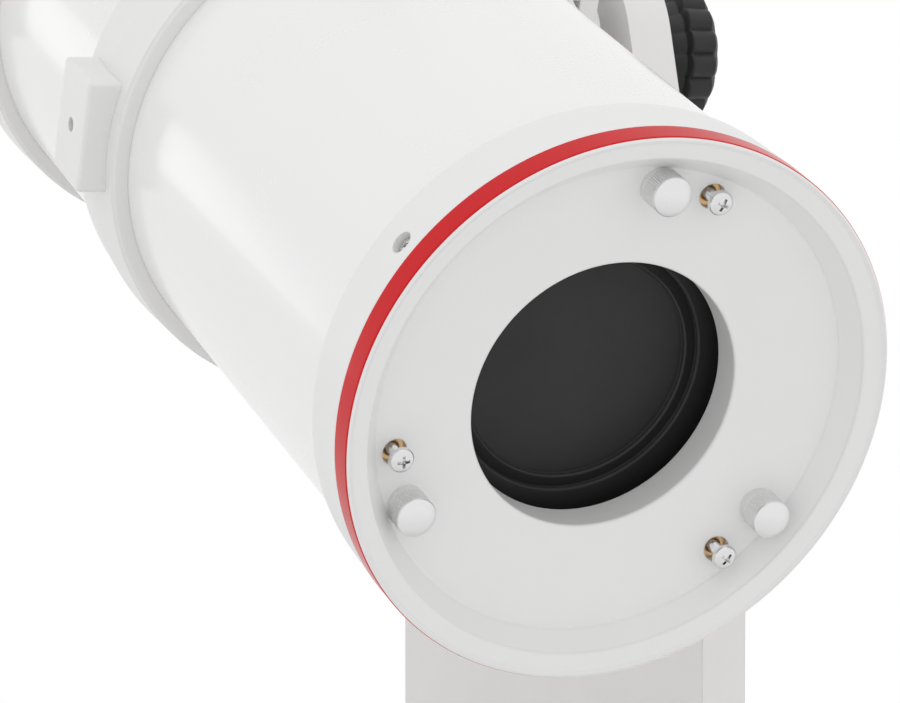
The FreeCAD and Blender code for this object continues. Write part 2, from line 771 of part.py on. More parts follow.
def rear_cell():
    lip = 1.4
    outline = [(cell_lip_inner_r, lip), (cell_lip_inner_r + lip, 0), (cell_outer_r - 1, 0), (cell_outer_r, 1)]
    outline += [(cell_outer_r, band_start), (cell_outer_r - band_depth, band_start)]
    outline += [(cell_outer_r - band_depth, band_start + band_width), (cell_outer_r, band_start + band_width)]
    outline += [(cell_outer_r, cell_skirt_end - 0.8), (cell_outer_r - 0.8, cell_skirt_end)]
    outline += [(tube_outer_r - 1, cell_skirt_end), (tube_outer_r - 1, cell_plate_front)]
    outline += [(cell_hole_r, cell_plate_front), (cell_hole_r, cell_plate_depth)]
    outline += [(cell_lip_inner_r - 3, cell_plate_depth), (cell_lip_inner_r, cell_plate_depth - 3)]
    body = lathe(outline)
    cuts = [end_socket(tube_socket_depth, cell_skirt_end + 1)]
    for angle in knob_angles:
        cuts.append(rod(collimation_stud_r + running_gap, polar(collimation_circle_r, angle, 0),
                        polar(collimation_circle_r, angle, cell_plate_front + 1)))
    for angle in lock_angles:
        cuts.append(rod(insert_outer_r + press_gap, polar(collimation_circle_r, angle, 0),
                        polar(collimation_circle_r, angle, cell_plate_depth + insert_depth)))
        cuts.append(rod(insert_inner_r, polar(collimation_circle_r, angle, 0),
                        polar(collimation_circle_r, angle, cell_plate_front + 1)))
    for angle in side_angles:
        cuts.append(side_shank(angle, press_gap))
        cuts.append(rod(side_recess_r, polar(tube_outer_r + 0.5, angle, side_screw_along),
                        polar(cell_outer_r + 2, angle, side_screw_along)))
    return on_tube(body.cut(cuts))


def accent_band(groove_start):
    """A coloured hoop that lies in the groove of an end ring."""
    start = groove_start + press_gap
    end = groove_start + band_width - press_gap
    return on_tube(sleeve(cell_outer_r - band_depth + press_gap, cell_outer_r, start, end))


def rear_accent_band():
    return accent_band(band_start)


def cell_screws():
    return on_tube(group([side_screw(angle) for angle in side_angles]))


def lock_inserts():
    ring = []
    for angle in lock_angles:
        outer = rod(insert_outer_r, polar(collimation_circle_r, angle, cell_plate_depth - insert_proud),
                    polar(collimation_circle_r, angle, cell_plate_depth + insert_depth))
        inner = rod(insert_inner_r, polar(collimation_circle_r, angle, 0),
                    polar(collimation_circle_r, angle, cell_plate_front))
        ring.append(outer.cut(inner))
    return on_tube(group(ring))


def front_end_ring():
    rear = tube_length - front_ring_length
    band_end = tube_length - band_start
    outline = [(cell_lip_inner_r, tube_length - 1.4), (cell_lip_inner_r + 1.4, tube_length)]
    outline += [(cell_outer_r - 1, tube_length), (cell_outer_r, tube_length - 1), (cell_outer_r, band_end)]
    outline += [(cell_outer_r - band_depth, band_end), (cell_outer_r - band_depth, band_end - band_width)]
    outline += [(cell_outer_r, band_end - band_width), (cell_outer_r, rear + 0.8), (cell_outer_r - 0.8, rear)]
    outline += [(cell_lip_inner_r, rear)]
    return on_tube(lathe(outline).cut(end_socket(rear - 1, tube_length - tube_socket_depth)))


def front_accent_band():
    return accent_band(tube_length - band_start - band_width)


# ---- primary mirror and its adjusters ----------------------------------------------------
def mirror_cell():
    step_r = cell_hole_r - 3
    outline = [(0, mirror_cell_back + 3), (step_r - 4, mirror_cell_back + 3), (step_r - 4, mirror_cell_back + 1.5)]
    outline += [(step_r, mirror_cell_back + 1.5), (step_r, mirror_cell_back), (mirror_cell_r, mirror_cell_back)]
    outline += [(mirror_cell_r, mirror_cell_front), (aperture_r - 8, mirror_cell_front)]
    outline += [(aperture_r - 8, mirror_back), (aperture_r - 20, mirror_back)]
    outline += [(aperture_r - 20, mirror_cell_front)]
    outline += [(0, mirror_cell_front)]
    holes = [rod(collimation_stud_r + free_gap, polar(collimation_circle_r, a, mirror_cell_back - 1),
                 polar(collimation_circle_r, a, mirror_cell_front - 1.5)) for a in knob_angles]
    return on_tube(lathe(outline).cut(holes))


def primary_mirror():
    sag = aperture_r ** 2 / (4 * focal_length)
    front_mid = vec(aperture_r / 2, mirror_front - sag + sag / 4, 0)
    rim = vec(aperture_r, mirror_front, 0)
    pole = vec(0, mirror_front - sag, 0)
    curve = Part.Arc(pole, front_mid, rim).toShape()
    sides = Part.makePolygon([rim, vec(aperture_r, mirror_back, 0), vec(0, mirror_back, 0), pole])
    face = Part.Face(Part.Wire([curve] + sides.Edges))
    return on_tube(face.revolve(vec(0, 0, 0), vec(0, 1, 0), 360))


def mirror_clips():
    clips = []
    for angle in knob_angles:
        post = block((aperture_r + 0.5, aperture_r + 4.5), (mirror_cell_front, mirror_front + 2.5), (-7, 7))
        hook = block((aperture_r - 3, aperture_r + 4.5), (mirror_front + 0.5, mirror_front + 2.5), (-7, 7))
        clips.append(spun(joined([post, hook]), angle + side_screw_turn))
    return on_tube(group(clips))


def collimation_springs():
    springs = []
    turns = 3
    wire_r = 0.6
    start = cell_plate_front + wire_r + 0.2
    pitch = (mirror_cell_gap - 2 * wire_r - 0.4) / (turns - 1)
    for angle in knob_angles:
        for k in range(turns):
            place = polar(collimation_circle_r, angle, start + pitch * k)
            springs.append(Part.makeTorus(collimation_stud_r + 1.6, wire_r, place, vec(0, 1, 0)))
    return on_tube(group(springs))


def collimation_knob(angle):
    base = cell_plate_depth - free_gap
    top = base - knob_height
    outline = [(0, top), (knob_r * 0.5, top + knob_dome * 0.2), (knob_r * 0.85, top + knob_dome * 0.6)]
    outline += [(knob_r, top + knob_dome), (knob_r, base - 0.6)]
    outline += [(knob_r - 0.6, base), (collimation_stud_r, base), (collimation_stud_r, mirror_cell_front - 2)]
    outline += [(0, mirror_cell_front - 2)]
    knob = moved(lathe(outline), collimation_circle_r, 0, 0)
    return on_tube(spun(knob, angle))


def lock_screw(angle):
    head_base = cell_plate_depth - lock_head_standoff + lock_head_height
    outline = [(0, head_base - lock_head_height), (lock_head_r - 2, head_base - lock_head_height + 0.3)]
    outline += [(lock_head_r, head_base - 1.3), (lock_head_r, head_base), (lock_shank_r, head_base)]
    outline += [(lock_shank_r, mirror_cell_back - lock_tip_gap), (0, mirror_cell_back - lock_tip_gap)]
    screw = moved(lathe(outline), collimation_circle_r, 0, 0)
    return on_tube(spun(screw, angle))


# ---- secondary mirror and spider, drawn with the focuser straight up ------------------------
def to_focuser(shape):
    return on_tube(spun(shape, focuser_angle - 90))


def spider_along():
    return focuser_along + secondary_r + spider_setback


def vane_angles():
    return [focuser_angle + 45 + 90 * k for k in range(4)]


def spider():
    start = spider_along() - spider_hub_length / 2
    hub = rod(spider_hub_r, vec(0, start, 0), vec(0, start + spider_hub_length, 0))
    wall = tube_outer_r - tube_wall - 0.4
    depth = (spider_along() - vane_depth / 2, spider_along() + vane_depth / 2)
    vanes = []
    for angle in vane_angles():
        vane = block((spider_hub_r - 2, wall - 3), depth, (-vane_thickness / 2, vane_thickness / 2))
        shoe = block((wall - 4, wall - 1), depth, (-vane_screw_r * 2, vane_screw_r * 2))
        vanes.append(spun(joined([vane, shoe]), angle))
    solid = joined([hub] + vanes)
    holes = [rod(vane_screw_r + press_gap, polar(wall - 5, a, spider_along()), polar(wall + 2, a, spider_along()))
             for a in vane_angles()]
    holes += secondary_screw_solids(press_gap)
    return on_tube(solid.cut(holes))


def spider_screw_solids():
    screws = []
    for angle in vane_angles():
        shank = rod(vane_screw_r, polar(tube_outer_r - tube_wall - 4.5, angle, spider_along()),
                    polar(tube_outer_r + 1, angle, spider_along()))
        head = rod(vane_screw_head_r, polar(tube_outer_r + 0.3, angle, spider_along()),
                   polar(tube_outer_r + 2.6, angle, spider_along()))
        screws.append(joined([shank, head]))
    return screws


def secondary_screw_solids(grow):
    front = spider_along() + spider_hub_length / 2
    back = spider_along() - spider_hub_length / 2
    screws = [rod(secondary_stem_r + grow, vec(0, back - stem_gap - 3, 0), vec(0, front + 4, 0))]
    for angle in (90, 210, 330):
        turn = focuser_angle + angle
        screws.append(rod(secondary_screw_r + grow, polar(secondary_screw_circle, turn, back - stem_gap),
                          polar(secondary_screw_circle, turn, front + 3)))
    return screws


def secondary_screws():
    return on_tube(group(secondary_screw_solids(0)))


def slant_cut(offset):
    """A block that keeps what lies in front of a 45 degree plane facing back and up."""
    big = 120
    keep = block((-big, big), (0, big), (-big, big))
    keep.rotate(vec(0, 0, 0), vec(1, 0, 0), 45)
    return moved(keep, 0, focuser_along + offset, 0)


def secondary_mirror():
    pillar = rod(secondary_r, vec(0, focuser_along - 60, 0), vec(0, focuser_along + 60, 0))
    thick = secondary_thickness * math.sqrt(2)
    return to_focuser(pillar.common(slant_cut(0)).cut(slant_cut(thick)))


def secondary_holder():
    thick = secondary_thickness * math.sqrt(2) + 0.3
    end = spider_along() - spider_hub_length / 2 - stem_gap
    pillar = rod(secondary_r - 1.5, vec(0, focuser_along - 60, 0), vec(0, end, 0))
    holder = pillar.common(slant_cut(thick))
    stem_hole = rod(secondary_stem_r + press_gap, vec(0, end - 3.2, 0), vec(0, end + 1, 0))
    return to_focuser(holder.cut(stem_hole))


# ---- focuser --------------------------------------------------------------------------------
def shaft_height():
    return tube_outer_r + focuser_base_height + focuser_body_height / 2


def shaft_along():
    """Where the focus shaft presses on the flat of the drawtube."""
    return focuser_along - drawtube_r - focus_shaft_r - running_gap + flat_depth


def base_screw_places():
    reach = focuser_base_size / 2 - base_screw_inset
    return [(x, focuser_along + y) for x in (-reach, reach) for y in (-reach, reach)]


def focuser_base():
    half = focuser_base_size / 2
    top = tube_outer_r + focuser_base_height
    z = shaft_height()
    foot = block((-half, half), (focuser_along - half, focuser_along + half), (tube_outer_r * 0.8, top))
    foot = foot.makeFillet(8, [e for e in foot.Edges if abs(e.tangentAt(e.FirstParameter).z) > 0.9])
    barrel = rod(drawtube_r + 6, vec(0, focuser_along, top - 2), vec(0, focuser_along, top + focuser_body_height))
    cradle = block((-cradle_half_width, cradle_half_width), (focuser_along - drawtube_r - 15, focuser_along),
                   (z - 13, z + 13))
    solid = joined([foot, barrel, cradle])
    saddle = rod(tube_outer_r + press_gap, vec(0, focuser_along - 80, 0), vec(0, focuser_along + 80, 0))
    throat = rod(drawtube_r + 0.1, vec(0, focuser_along, 0), vec(0, focuser_along, top + 80))
    shaft_hole = rod(focus_shaft_r + running_gap, vec(-60, shaft_along(), z), vec(60, shaft_along(), z))
    window = block((-flat_half_width, flat_half_width), (shaft_along() - focus_shaft_r - 1, shaft_along() + 8),
                   (z - 6, z + 6))
    lock_hole = rod(thumb_screw_r + running_gap, vec(0, focuser_along + drawtube_r, z),
                    vec(0, focuser_along + drawtube_r + 20, z))
    holes = [rod(base_screw_r + press_gap, vec(x, y, tube_outer_r * 0.7), vec(x, y, top + 3))
             for x, y in base_screw_places()]
    return to_focuser(solid.cut([saddle, throat, shaft_hole, window, lock_hole] + holes))


def focuser_screw_solids():
    top = tube_outer_r + focuser_base_height
    screws = []
    for x, y in base_screw_places():
        wall_z = math.sqrt(tube_outer_r ** 2 - (abs(x) - base_screw_r) ** 2)
        shank = rod(base_screw_r, vec(x, y, wall_z + press_gap), vec(x, y, top))
        head = rod(base_screw_head_r, vec(x, y, top), vec(x, y, top + 2.4))
        screws.append(spun(joined([shank, head]), focuser_angle - 90))
    return screws


def tube_screws():
    return on_tube(group(spider_screw_solids() + focuser_screw_solids()))


def drawtube():
    low = tube_outer_r - drawtube_inside
    high = low + drawtube_length
    shell = rod(drawtube_r, vec(0, focuser_along, low), vec(0, focuser_along, high))
    collar = rod(drawtube_r + 4, vec(0, focuser_along, high - 9), vec(0, focuser_along, high))
    bore = rod(drawtube_r - drawtube_wall, vec(0, focuser_along, low - 1), vec(0, focuser_along, high + 1))
    flat = block((-flat_half_width, flat_half_width),
                 (focuser_along - drawtube_r - 1, focuser_along - drawtube_r + flat_depth), (low - 1, high - 10))
    return to_focuser(joined([shell, collar]).cut([bore, flat]))


def adapter_top():
    return tube_outer_r - drawtube_inside + drawtube_length + adapter_height


def eyepiece_adapter():
    top = adapter_top()
    seat = tube_outer_r - drawtube_inside + drawtube_length
    plug = rod(drawtube_r - drawtube_wall - press_gap, vec(0, focuser_along, top - adapter_length - 6),
               vec(0, focuser_along, seat + 1))
    head = rod(adapter_r, vec(0, focuser_along, seat), vec(0, focuser_along, top))
    bore = rod(eyepiece_bore_r, vec(0, focuser_along, top - 60), vec(0, focuser_along, top + 1))
    screw_z = top - adapter_screw_drop
    screw_hole = rod(thumb_screw_r + running_gap, vec(0, focuser_along - 60, screw_z),
                     vec(0, focuser_along, screw_z))
    return to_focuser(joined([plug, head]).cut([bore, screw_hole]))


def thumb_screw(tip, direction, length):
    """A small screw with a knurled head, drawn from its tip outwards."""
    shank = Part.makeCylinder(thumb_screw_r, length, tip, direction)
    head_start = tip + direction * (length - 1)
    head = Part.makeCylinder(thumb_head_r, 9, head_start, direction)
    return joined([shank, head])


def eyepiece_screw():
    tip = vec(0, focuser_along - eyepiece_bore_r - 0.5, adapter_top() - adapter_screw_drop)
    return to_focuser(thumb_screw(tip, vec(0, -1, 0), adapter_r - eyepiece_bore_r + 2))


def focuser_lock_screw():
    tip = vec(0, focuser_along + drawtube_r + free_gap, shaft_height())
    return to_focuser(thumb_screw(tip, vec(0, 1, 0), 9))


def focus_knobs():
    y = shaft_along()
    z = shaft_height()
    reach = drawtube_r + 12
    shaft = rod(focus_shaft_r, vec(-reach, y, z), vec(reach, y, z))
    knobs = []
    for side in (-1, 1):
        start = side * (reach - 4)
        neck = rod(focus_shaft_r * 1.5, vec(side * (cradle_half_width + free_gap), y, z), vec(start, y, z))
        grip = rod(focus_knob_r, vec(start, y, z), vec(start + side * focus_knob_width, y, z))
        knobs += [neck, grip]
    return to_focuser(joined([shaft] + knobs))


def finder_shoe():
    half_w = finder_shoe_width / 2
    middle = focuser_along - finder_shoe_setback
    y_range = (middle - finder_shoe_length / 2, middle + finder_shoe_length / 2)
    floor = tube_outer_r + finder_floor
    top = floor + finder_rail_height
    base = block((-half_w, half_w), y_range, (tube_outer_r * 0.9, floor))
    rails = []
    for side in (-1, 1):
        corners = [vec(side * half_w, 0, floor), vec(side * half_w, 0, top),
                   vec(side * (half_w - finder_rail_top), 0, top),
                   vec(side * (half_w - finder_rail_foot), 0, floor)]
        rail = outline_face(corners).extrude(vec(0, finder_shoe_length, 0))
        rails.append(moved(rail, 0, y_range[0], 0))
    saddle = rod(tube_outer_r + press_gap, vec(0, y_range[0] - 5, 0), vec(0, y_range[1] + 5, 0))
    shoe = joined([base] + rails).cut(saddle)
    return on_tube(spun(shoe, finder_shoe_angle - 90))


def ring_liners():
    return on_tube(group([liner_half(1, middle) for middle in ring_middles]))


def build_nodes():
    nodes = {
        "ground_board": ground_board(), "ground_feet": ground_feet(), "foot_screws": foot_screws(),
        "azimuth_pads": azimuth_pads(), "azimuth_bolt": azimuth_bolt(), "azimuth_nut": azimuth_nut(),
        "azimuth_board": azimuth_board(), "azimuth_bushing": azimuth_bushing(), "arm_board": arm_board(),
        "arm_cleat": arm_cleat(), "arm_screws": arm_screws(), "altitude_bushing": altitude_bushing(),
        "friction_washers": friction_washers(), "altitude_hub": altitude_hub(),
        "altitude_bolt": altitude_bolt(), "altitude_knob": altitude_knob(), "saddle_base": saddle_base(),
        "saddle_jaw": saddle_jaw(), "saddle_knob": saddle_knob(), "dovetail_bar": dovetail_bar(),
        "dovetail_bolts": dovetail_bolts(), "ring_hinge_pins": ring_hinge_pins(), "ring_liners": ring_liners(),
        "main_tube": main_tube(), "rear_cell": rear_cell(), "rear_accent_band": rear_accent_band(),
        "cell_screws": cell_screws(), "lock_inserts": lock_inserts(), "front_end_ring": front_end_ring(),
        "front_accent_band": front_accent_band(), "mirror_cell": mirror_cell(),
        "primary_mirror": primary_mirror(), "mirror_clips": mirror_clips(),
        "collimation_springs": collimation_springs(), "spider": spider(), "tube_screws": tube_screws(),
        "secondary_holder": secondary_holder(), "secondary_mirror": secondary_mirror(),
        "secondary_screws": secondary_screws(), "focuser_base": focuser_base(),
        "drawtube": drawtube(), "eyepiece_adapter": eyepiece_adapter(),
        "eyepiece_screw": eyepiece_screw(), "focuser_lock_screw": focuser_lock_screw(),
        "focus_knobs": focus_knobs(), "finder_shoe": finder_shoe(),
    }
    for name, middle in zip(("rear", "front"), ring_middles):
        nodes[name + "_ring_fixed_half"] = on_tube(ring_fixed_half(middle))
        nodes[name + "_ring_swing_half"] = on_tube(ring_swing_half(middle))
        nodes[name + "_ring_liner"] = on_tube(liner_half(-1, middle))
        nodes[name + "_ring_knob"] = ring_clamp_knob(middle)
    for k in range(3):
        nodes["collimation_knob_%d" % (k + 1)] = collimation_knob(knob_angles[k])
        nodes["lock_screw_%d" % (k + 1)] = lock_screw(lock_angles[k])
    return nodes


os.makedirs("parts", exist_ok=True)
for node_name, node_shape in build_nodes().items():
    node_shape.exportStep(os.path.join("parts", node_name + ".step"))
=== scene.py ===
import json
import math
import bmesh
import bpy
from mathutils import Matrix, Vector


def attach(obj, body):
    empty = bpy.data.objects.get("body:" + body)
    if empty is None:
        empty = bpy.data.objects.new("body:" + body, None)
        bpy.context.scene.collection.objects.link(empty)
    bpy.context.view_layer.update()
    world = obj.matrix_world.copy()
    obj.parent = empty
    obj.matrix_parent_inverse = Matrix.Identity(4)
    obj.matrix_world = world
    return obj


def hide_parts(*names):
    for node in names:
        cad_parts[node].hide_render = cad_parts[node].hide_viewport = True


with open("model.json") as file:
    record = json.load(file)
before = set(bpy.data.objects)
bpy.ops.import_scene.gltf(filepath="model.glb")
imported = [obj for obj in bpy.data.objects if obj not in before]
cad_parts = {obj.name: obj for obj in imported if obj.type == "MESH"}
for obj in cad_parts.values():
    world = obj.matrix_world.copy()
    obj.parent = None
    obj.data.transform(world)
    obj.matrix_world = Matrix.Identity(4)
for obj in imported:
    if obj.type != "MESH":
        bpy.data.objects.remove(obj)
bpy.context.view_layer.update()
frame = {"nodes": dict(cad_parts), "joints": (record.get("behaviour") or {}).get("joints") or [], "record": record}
print("frame loaded")

mm = 0.001
nodes = frame["nodes"]
scene = bpy.context.scene
joints = {joint["name"]: joint for joint in frame["joints"]}

# the tube's own directions: x to the arm, y from the rear rim to the open end, z up across the tube
optics = {"pivotAlong": 326.0, "tubeRadius": 87.6, "tubeWall": 1.2, "tubeLength": 690.0, "rimRadius": 91.0}
tubeAxis = Vector(joints["tube_roll"]["axis"]).normalized()
tubeSide = Vector((1, 0, 0))
tubeUp = tubeSide.cross(tubeAxis)
pivotPoint = Vector(joints["tube_roll"]["pos_m"])
rearCentre = pivotPoint - tubeAxis * optics["pivotAlong"] * mm


def columns(x, y, z, place):
    turn = Matrix((x, y, z)).transposed().to_4x4()
    return Matrix.Translation(place) @ turn


tubeMatrix = columns(tubeSide, tubeAxis, tubeUp, rearCentre)


def tubePoint(radius, phi, along):
    turn = math.radians(phi)
    return tubeMatrix @ (Vector((radius * math.cos(turn), along, radius * math.sin(turn))) * mm)


def alongTube(radius=0.0, phi=0.0, along=0.0):
    # local z runs with the tube, towards its open end
    return columns(tubeSide, -tubeUp, tubeAxis, tubePoint(radius, phi, along))


def outOfTube(radius, phi, along):
    # local z points away from the tube axis, local x runs with the tube
    turn = math.radians(phi)
    outward = tubeSide * math.cos(turn) + tubeUp * math.sin(turn)
    return columns(tubeAxis, outward.cross(tubeAxis), outward, tubePoint(radius, phi, along))


# ways of making a shape, all in millimetres
def softOutline(corners, steps=4):
    # corners are (across, along, rounding radius); each rounded corner becomes a tangent arc
    points = []
    for index, (across, along, radius) in enumerate(corners):
        here = Vector((across, along))
        if radius == 0:
            points.append(here)
            continue
        toBefore = (Vector(corners[index - 1][:2]) - here).normalized()
        toAfter = (Vector(corners[(index + 1) % len(corners)][:2]) - here).normalized()
        half = toBefore.angle(toAfter) / 2
        centre = here + (toBefore + toAfter).normalized() * (radius / math.sin(half))
        first = here + toBefore * (radius / math.tan(half)) - centre
        last = here + toAfter * (radius / math.tan(half)) - centre
        points += [centre + first.slerp(last, step / steps) for step in range(steps + 1)]
    return points


def turnedShape(outline, steps=96, ripple=None, sweep=(0, 360)):
    # an outline of (radius, along) turned about local z; ripple changes the radius round the turn
    shape = bmesh.new()
    full = sweep[1] - sweep[0] >= 360
    rings = []
    for radius, along in outline:
        if radius < 1e-6:
            rings.append([shape.verts.new((0, 0, along * mm))])
            continue
        ring = []
        for step in range(steps if full else steps + 1):
            turn = math.radians(sweep[0] + (sweep[1] - sweep[0]) * step / steps)
            reach = ripple(radius, along, turn) if ripple else radius
            place = (reach * math.cos(turn) * mm, reach * math.sin(turn) * mm, along * mm)
            ring.append(shape.verts.new(place))
        rings.append(ring)
    for index, ring in enumerate(rings):
        other = rings[(index + 1) % len(rings)]
        if len(ring) == 1 and len(other) == 1:
            continue
        for step in range(steps):
            corner = [ring[step % len(ring)], ring[(step + 1) % len(ring)],
                      other[(step + 1) % len(other)], other[step % len(other)]]
            shape.faces.new(list(dict.fromkeys(corner)))
    if not full:
        shape.faces.new([ring[0] for ring in rings])
        shape.faces.new([ring[-1] for ring in rings])
    bmesh.ops.recalc_face_normals(shape, faces=shape.faces)
    return shape


def blockShape(low, high, rounding=0.0, steps=3):
    shape = bmesh.new()
    bmesh.ops.create_cube(shape, size=1)
    for vert in shape.verts:
        vert.co = Vector([(low[k] + (high[k] - low[k]) * (vert.co[k] + 0.5)) * mm for k in range(3)])
    if rounding:
        bmesh.ops.bevel(shape, geom=shape.edges[:], offset=rounding * mm, segments=steps, profile=0.5,
                        affect="EDGES", clamp_overlap=True)
    return shape


def rodShape(radius, start, end, steps=48):
    return turnedShape([(0, start), (radius, start), (radius, end), (0, end)], steps)


def threadShape(radius, start, end, pitch, depth, steps=20):
    # a screw thread as a real helix of ridges, with flat ends
    shape = bmesh.new()
    levels = max(4, round((end - start) / pitch * 5))
    rings = []
    for level in range(levels + 1):
        along = start + (end - start) * level / levels
        ring = []
        for step in range(steps):
            share = (along / pitch - step / steps) % 1
            reach = radius - depth * abs(2 * share - 1)
            turn = 2 * math.pi * step / steps
            place = (reach * math.cos(turn) * mm, reach * math.sin(turn) * mm, along * mm)
            ring.append(shape.verts.new(place))
        rings.append(ring)
    for lower, upper in zip(rings, rings[1:]):
        for step in range(steps):
            other = (step + 1) % steps
            shape.faces.new([lower[step], lower[other], upper[other], upper[step]])
    shape.faces.new(rings[0])
    shape.faces.new(rings[-1])
    bmesh.ops.recalc_face_normals(shape, faces=shape.faces)
    return shape


def toObject(name, shape, place=None):
    mesh = bpy.data.meshes.new(name)
    shape.to_mesh(mesh)
    shape.free()
    thing = bpy.data.objects.new(name, mesh)
    scene.collection.objects.link(thing)
    if place is not None:
        thing.matrix_world = place
    return thing


def reshape(thing, adds=(), cuts=()):
    # joins and cuts with solid tools, then keeps the finished mesh
    tools = [(tool, "UNION") for tool in adds] + [(tool, "DIFFERENCE") for tool in cuts]
    for tool, operation in tools:
        step = thing.modifiers.new("shape", "BOOLEAN")
        step.object = tool
        step.operation = operation
        step.solver = "EXACT"
    bpy.context.view_layer.update()
    graph = bpy.context.evaluated_depsgraph_get()
    finished = bpy.data.meshes.new_from_object(thing.evaluated_get(graph))
    thing.modifiers.clear()
    thing.data = finished
    for tool, operation in tools:
        bpy.data.objects.remove(tool)
    return thing


def movedShape(shape, place):
    bmesh.ops.transform(shape, matrix=place, verts=shape.verts)
    return shape


def finishPiece(thing, material, body, stands=(), sharp=32):
    thing.data.materials.clear()
    thing.data.materials.append(material)
    thing.data.shade_smooth()
    thing.data.set_sharp_from_angle(angle=math.radians(sharp))
    tidyNormals = thing.modifiers.new("normals", "WEIGHTED_NORMAL")
    tidyNormals.keep_sharp = True
    tidyNormals.weight = 80
    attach(thing, body)
    if stands:
        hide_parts(*stands)
    return thing


# shader groups that several finishes share
def newGroup(name, inputs, outputs):
    tree = bpy.data.node_groups.new(name, "ShaderNodeTree")
    for label, value in inputs:
        kind = "NodeSocketColor" if isinstance(value, tuple) else "NodeSocketFloat"
        socket = tree.interface.new_socket(name=label, in_out="INPUT", socket_type=kind)
        socket.default_value = value
    for label, kind in outputs:
        tree.interface.new_socket(name=label, in_out="OUTPUT", socket_type=kind)
    return tree, tree.nodes.new("NodeGroupInput"), tree.nodes.new("NodeGroupOutput")


def mathNode(tree, operation, first, second=None, third=None):
    node = tree.nodes.new("ShaderNodeMath")
    node.operation = operation
    for socket, value in zip(node.inputs, (first, second, third)):
        if value is None:
            continue
        if isinstance(value, (int, float)):
            socket.default_value = value
        else:
            tree.links.new(value, socket)
    return node.outputs[0]


def scaledPlace(tree, size):
    # object coordinates in units of a feature size given in metres
    place = tree.nodes.new("ShaderNodeTexCoord")
    scale = tree.nodes.new("ShaderNodeVectorMath")
    scale.operation = "SCALE"
    tree.links.new(place.outputs["Object"], scale.inputs[0])
    tree.links.new(mathNode(tree, "DIVIDE", 1.0, size), scale.inputs["Scale"])
    return scale.outputs[0]


def noiseNode(tree, vector, detail=2.0, roughness=0.5):
    noise = tree.nodes.new("ShaderNodeTexNoise")
    noise.inputs["Scale"].default_value = 1.0
    noise.inputs["Detail"].default_value = detail
    noise.inputs["Roughness"].default_value = roughness
    tree.links.new(vector, noise.inputs["Vector"])
    return noise.outputs["Fac"]


def buildSkinGroup():
    # soft ripple of a sprayed coat over a finer grain, heights in metres
    inputs = [("Ripple Size", 0.004), ("Ripple Height", 0.000004),
              ("Grain Size", 0.0004), ("Grain Height", 0.000001)]
    outputs = [("Height", "NodeSocketFloat"), ("Mottle", "NodeSocketFloat")]
    tree, given, result = newGroup("sprayedSkin", inputs, outputs)
    ripple = noiseNode(tree, scaledPlace(tree, given.outputs["Ripple Size"]), 1.5)
    grain = noiseNode(tree, scaledPlace(tree, given.outputs["Grain Size"]), 3.0)
    rippleHeight = mathNode(tree, "MULTIPLY", ripple, given.outputs["Ripple Height"])
    grainHeight = mathNode(tree, "MULTIPLY", grain, given.outputs["Grain Height"])
    tree.links.new(mathNode(tree, "ADD", rippleHeight, grainHeight), result.inputs["Height"])
    wide = mathNode(tree, "MULTIPLY", given.outputs["Ripple Size"], 14.0)
    tree.links.new(noiseNode(tree, scaledPlace(tree, wide), 4.0, 0.6), result.inputs["Mottle"])
    return tree


def buildTurnedGroup():
    # fine tool marks that run round local z
    inputs = [("Mark Size", 0.0002), ("Mark Height", 0.000002)]
    outputs = [("Height", "NodeSocketFloat"), ("Marks", "NodeSocketFloat")]
    tree, given, result = newGroup("turnedMarks", inputs, outputs)
    place = tree.nodes.new("ShaderNodeTexCoord")
    split = tree.nodes.new("ShaderNodeSeparateXYZ")
    tree.links.new(place.outputs["Object"], split.inputs[0])
    squareX = mathNode(tree, "MULTIPLY", split.outputs["X"], split.outputs["X"])
    squareY = mathNode(tree, "MULTIPLY", split.outputs["Y"], split.outputs["Y"])
    radius = mathNode(tree, "SQRT", mathNode(tree, "ADD", squareX, squareY))
    join = tree.nodes.new("ShaderNodeCombineXYZ")
    tree.links.new(mathNode(tree, "DIVIDE", radius, given.outputs["Mark Size"]), join.inputs["X"])
    tree.links.new(mathNode(tree, "DIVIDE", split.outputs["Z"], given.outputs["Mark Size"]), join.inputs["Y"])
    marks = noiseNode(tree, join.outputs[0], 2.0)
    tree.links.new(marks, result.inputs["Marks"])
    tree.links.new(mathNode(tree, "MULTIPLY", marks, given.outputs["Mark Height"]), result.inputs["Height"])
    return tree


def buildEdgeGroup():
    # rounded shading normal and a mask of the outer and inner edges
    inputs = [("Rounding", 0.0005), ("Wear", 0.5), ("Break Size", 0.002)]
    outputs = [("Normal", "NodeSocketVector"), ("Edge", "NodeSocketFloat")]
    tree, given, result = newGroup("edgeWear", inputs, outputs)
    bevel = tree.nodes.new("ShaderNodeBevel")
    bevel.samples = 4
    tree.links.new(given.outputs["Rounding"], bevel.inputs["Radius"])
    geometry = tree.nodes.new("ShaderNodeNewGeometry")
    dot = tree.nodes.new("ShaderNodeVectorMath")
    dot.operation = "DOT_PRODUCT"
    tree.links.new(bevel.outputs[0], dot.inputs[0])
    tree.links.new(geometry.outputs["Normal"], dot.inputs[1])
    turned = mathNode(tree, "SUBTRACT", 1.0, dot.outputs["Value"])
    broken = noiseNode(tree, scaledPlace(tree, given.outputs["Break Size"]), 3.0)
    worn = mathNode(tree, "MULTIPLY", mathNode(tree, "MULTIPLY", turned, broken), given.outputs["Wear"])
    clamp = mathNode(tree, "MINIMUM", worn, 1.0)
    tree.links.new(bevel.outputs[0], result.inputs["Normal"])
    tree.links.new(clamp, result.inputs["Edge"])
    return tree


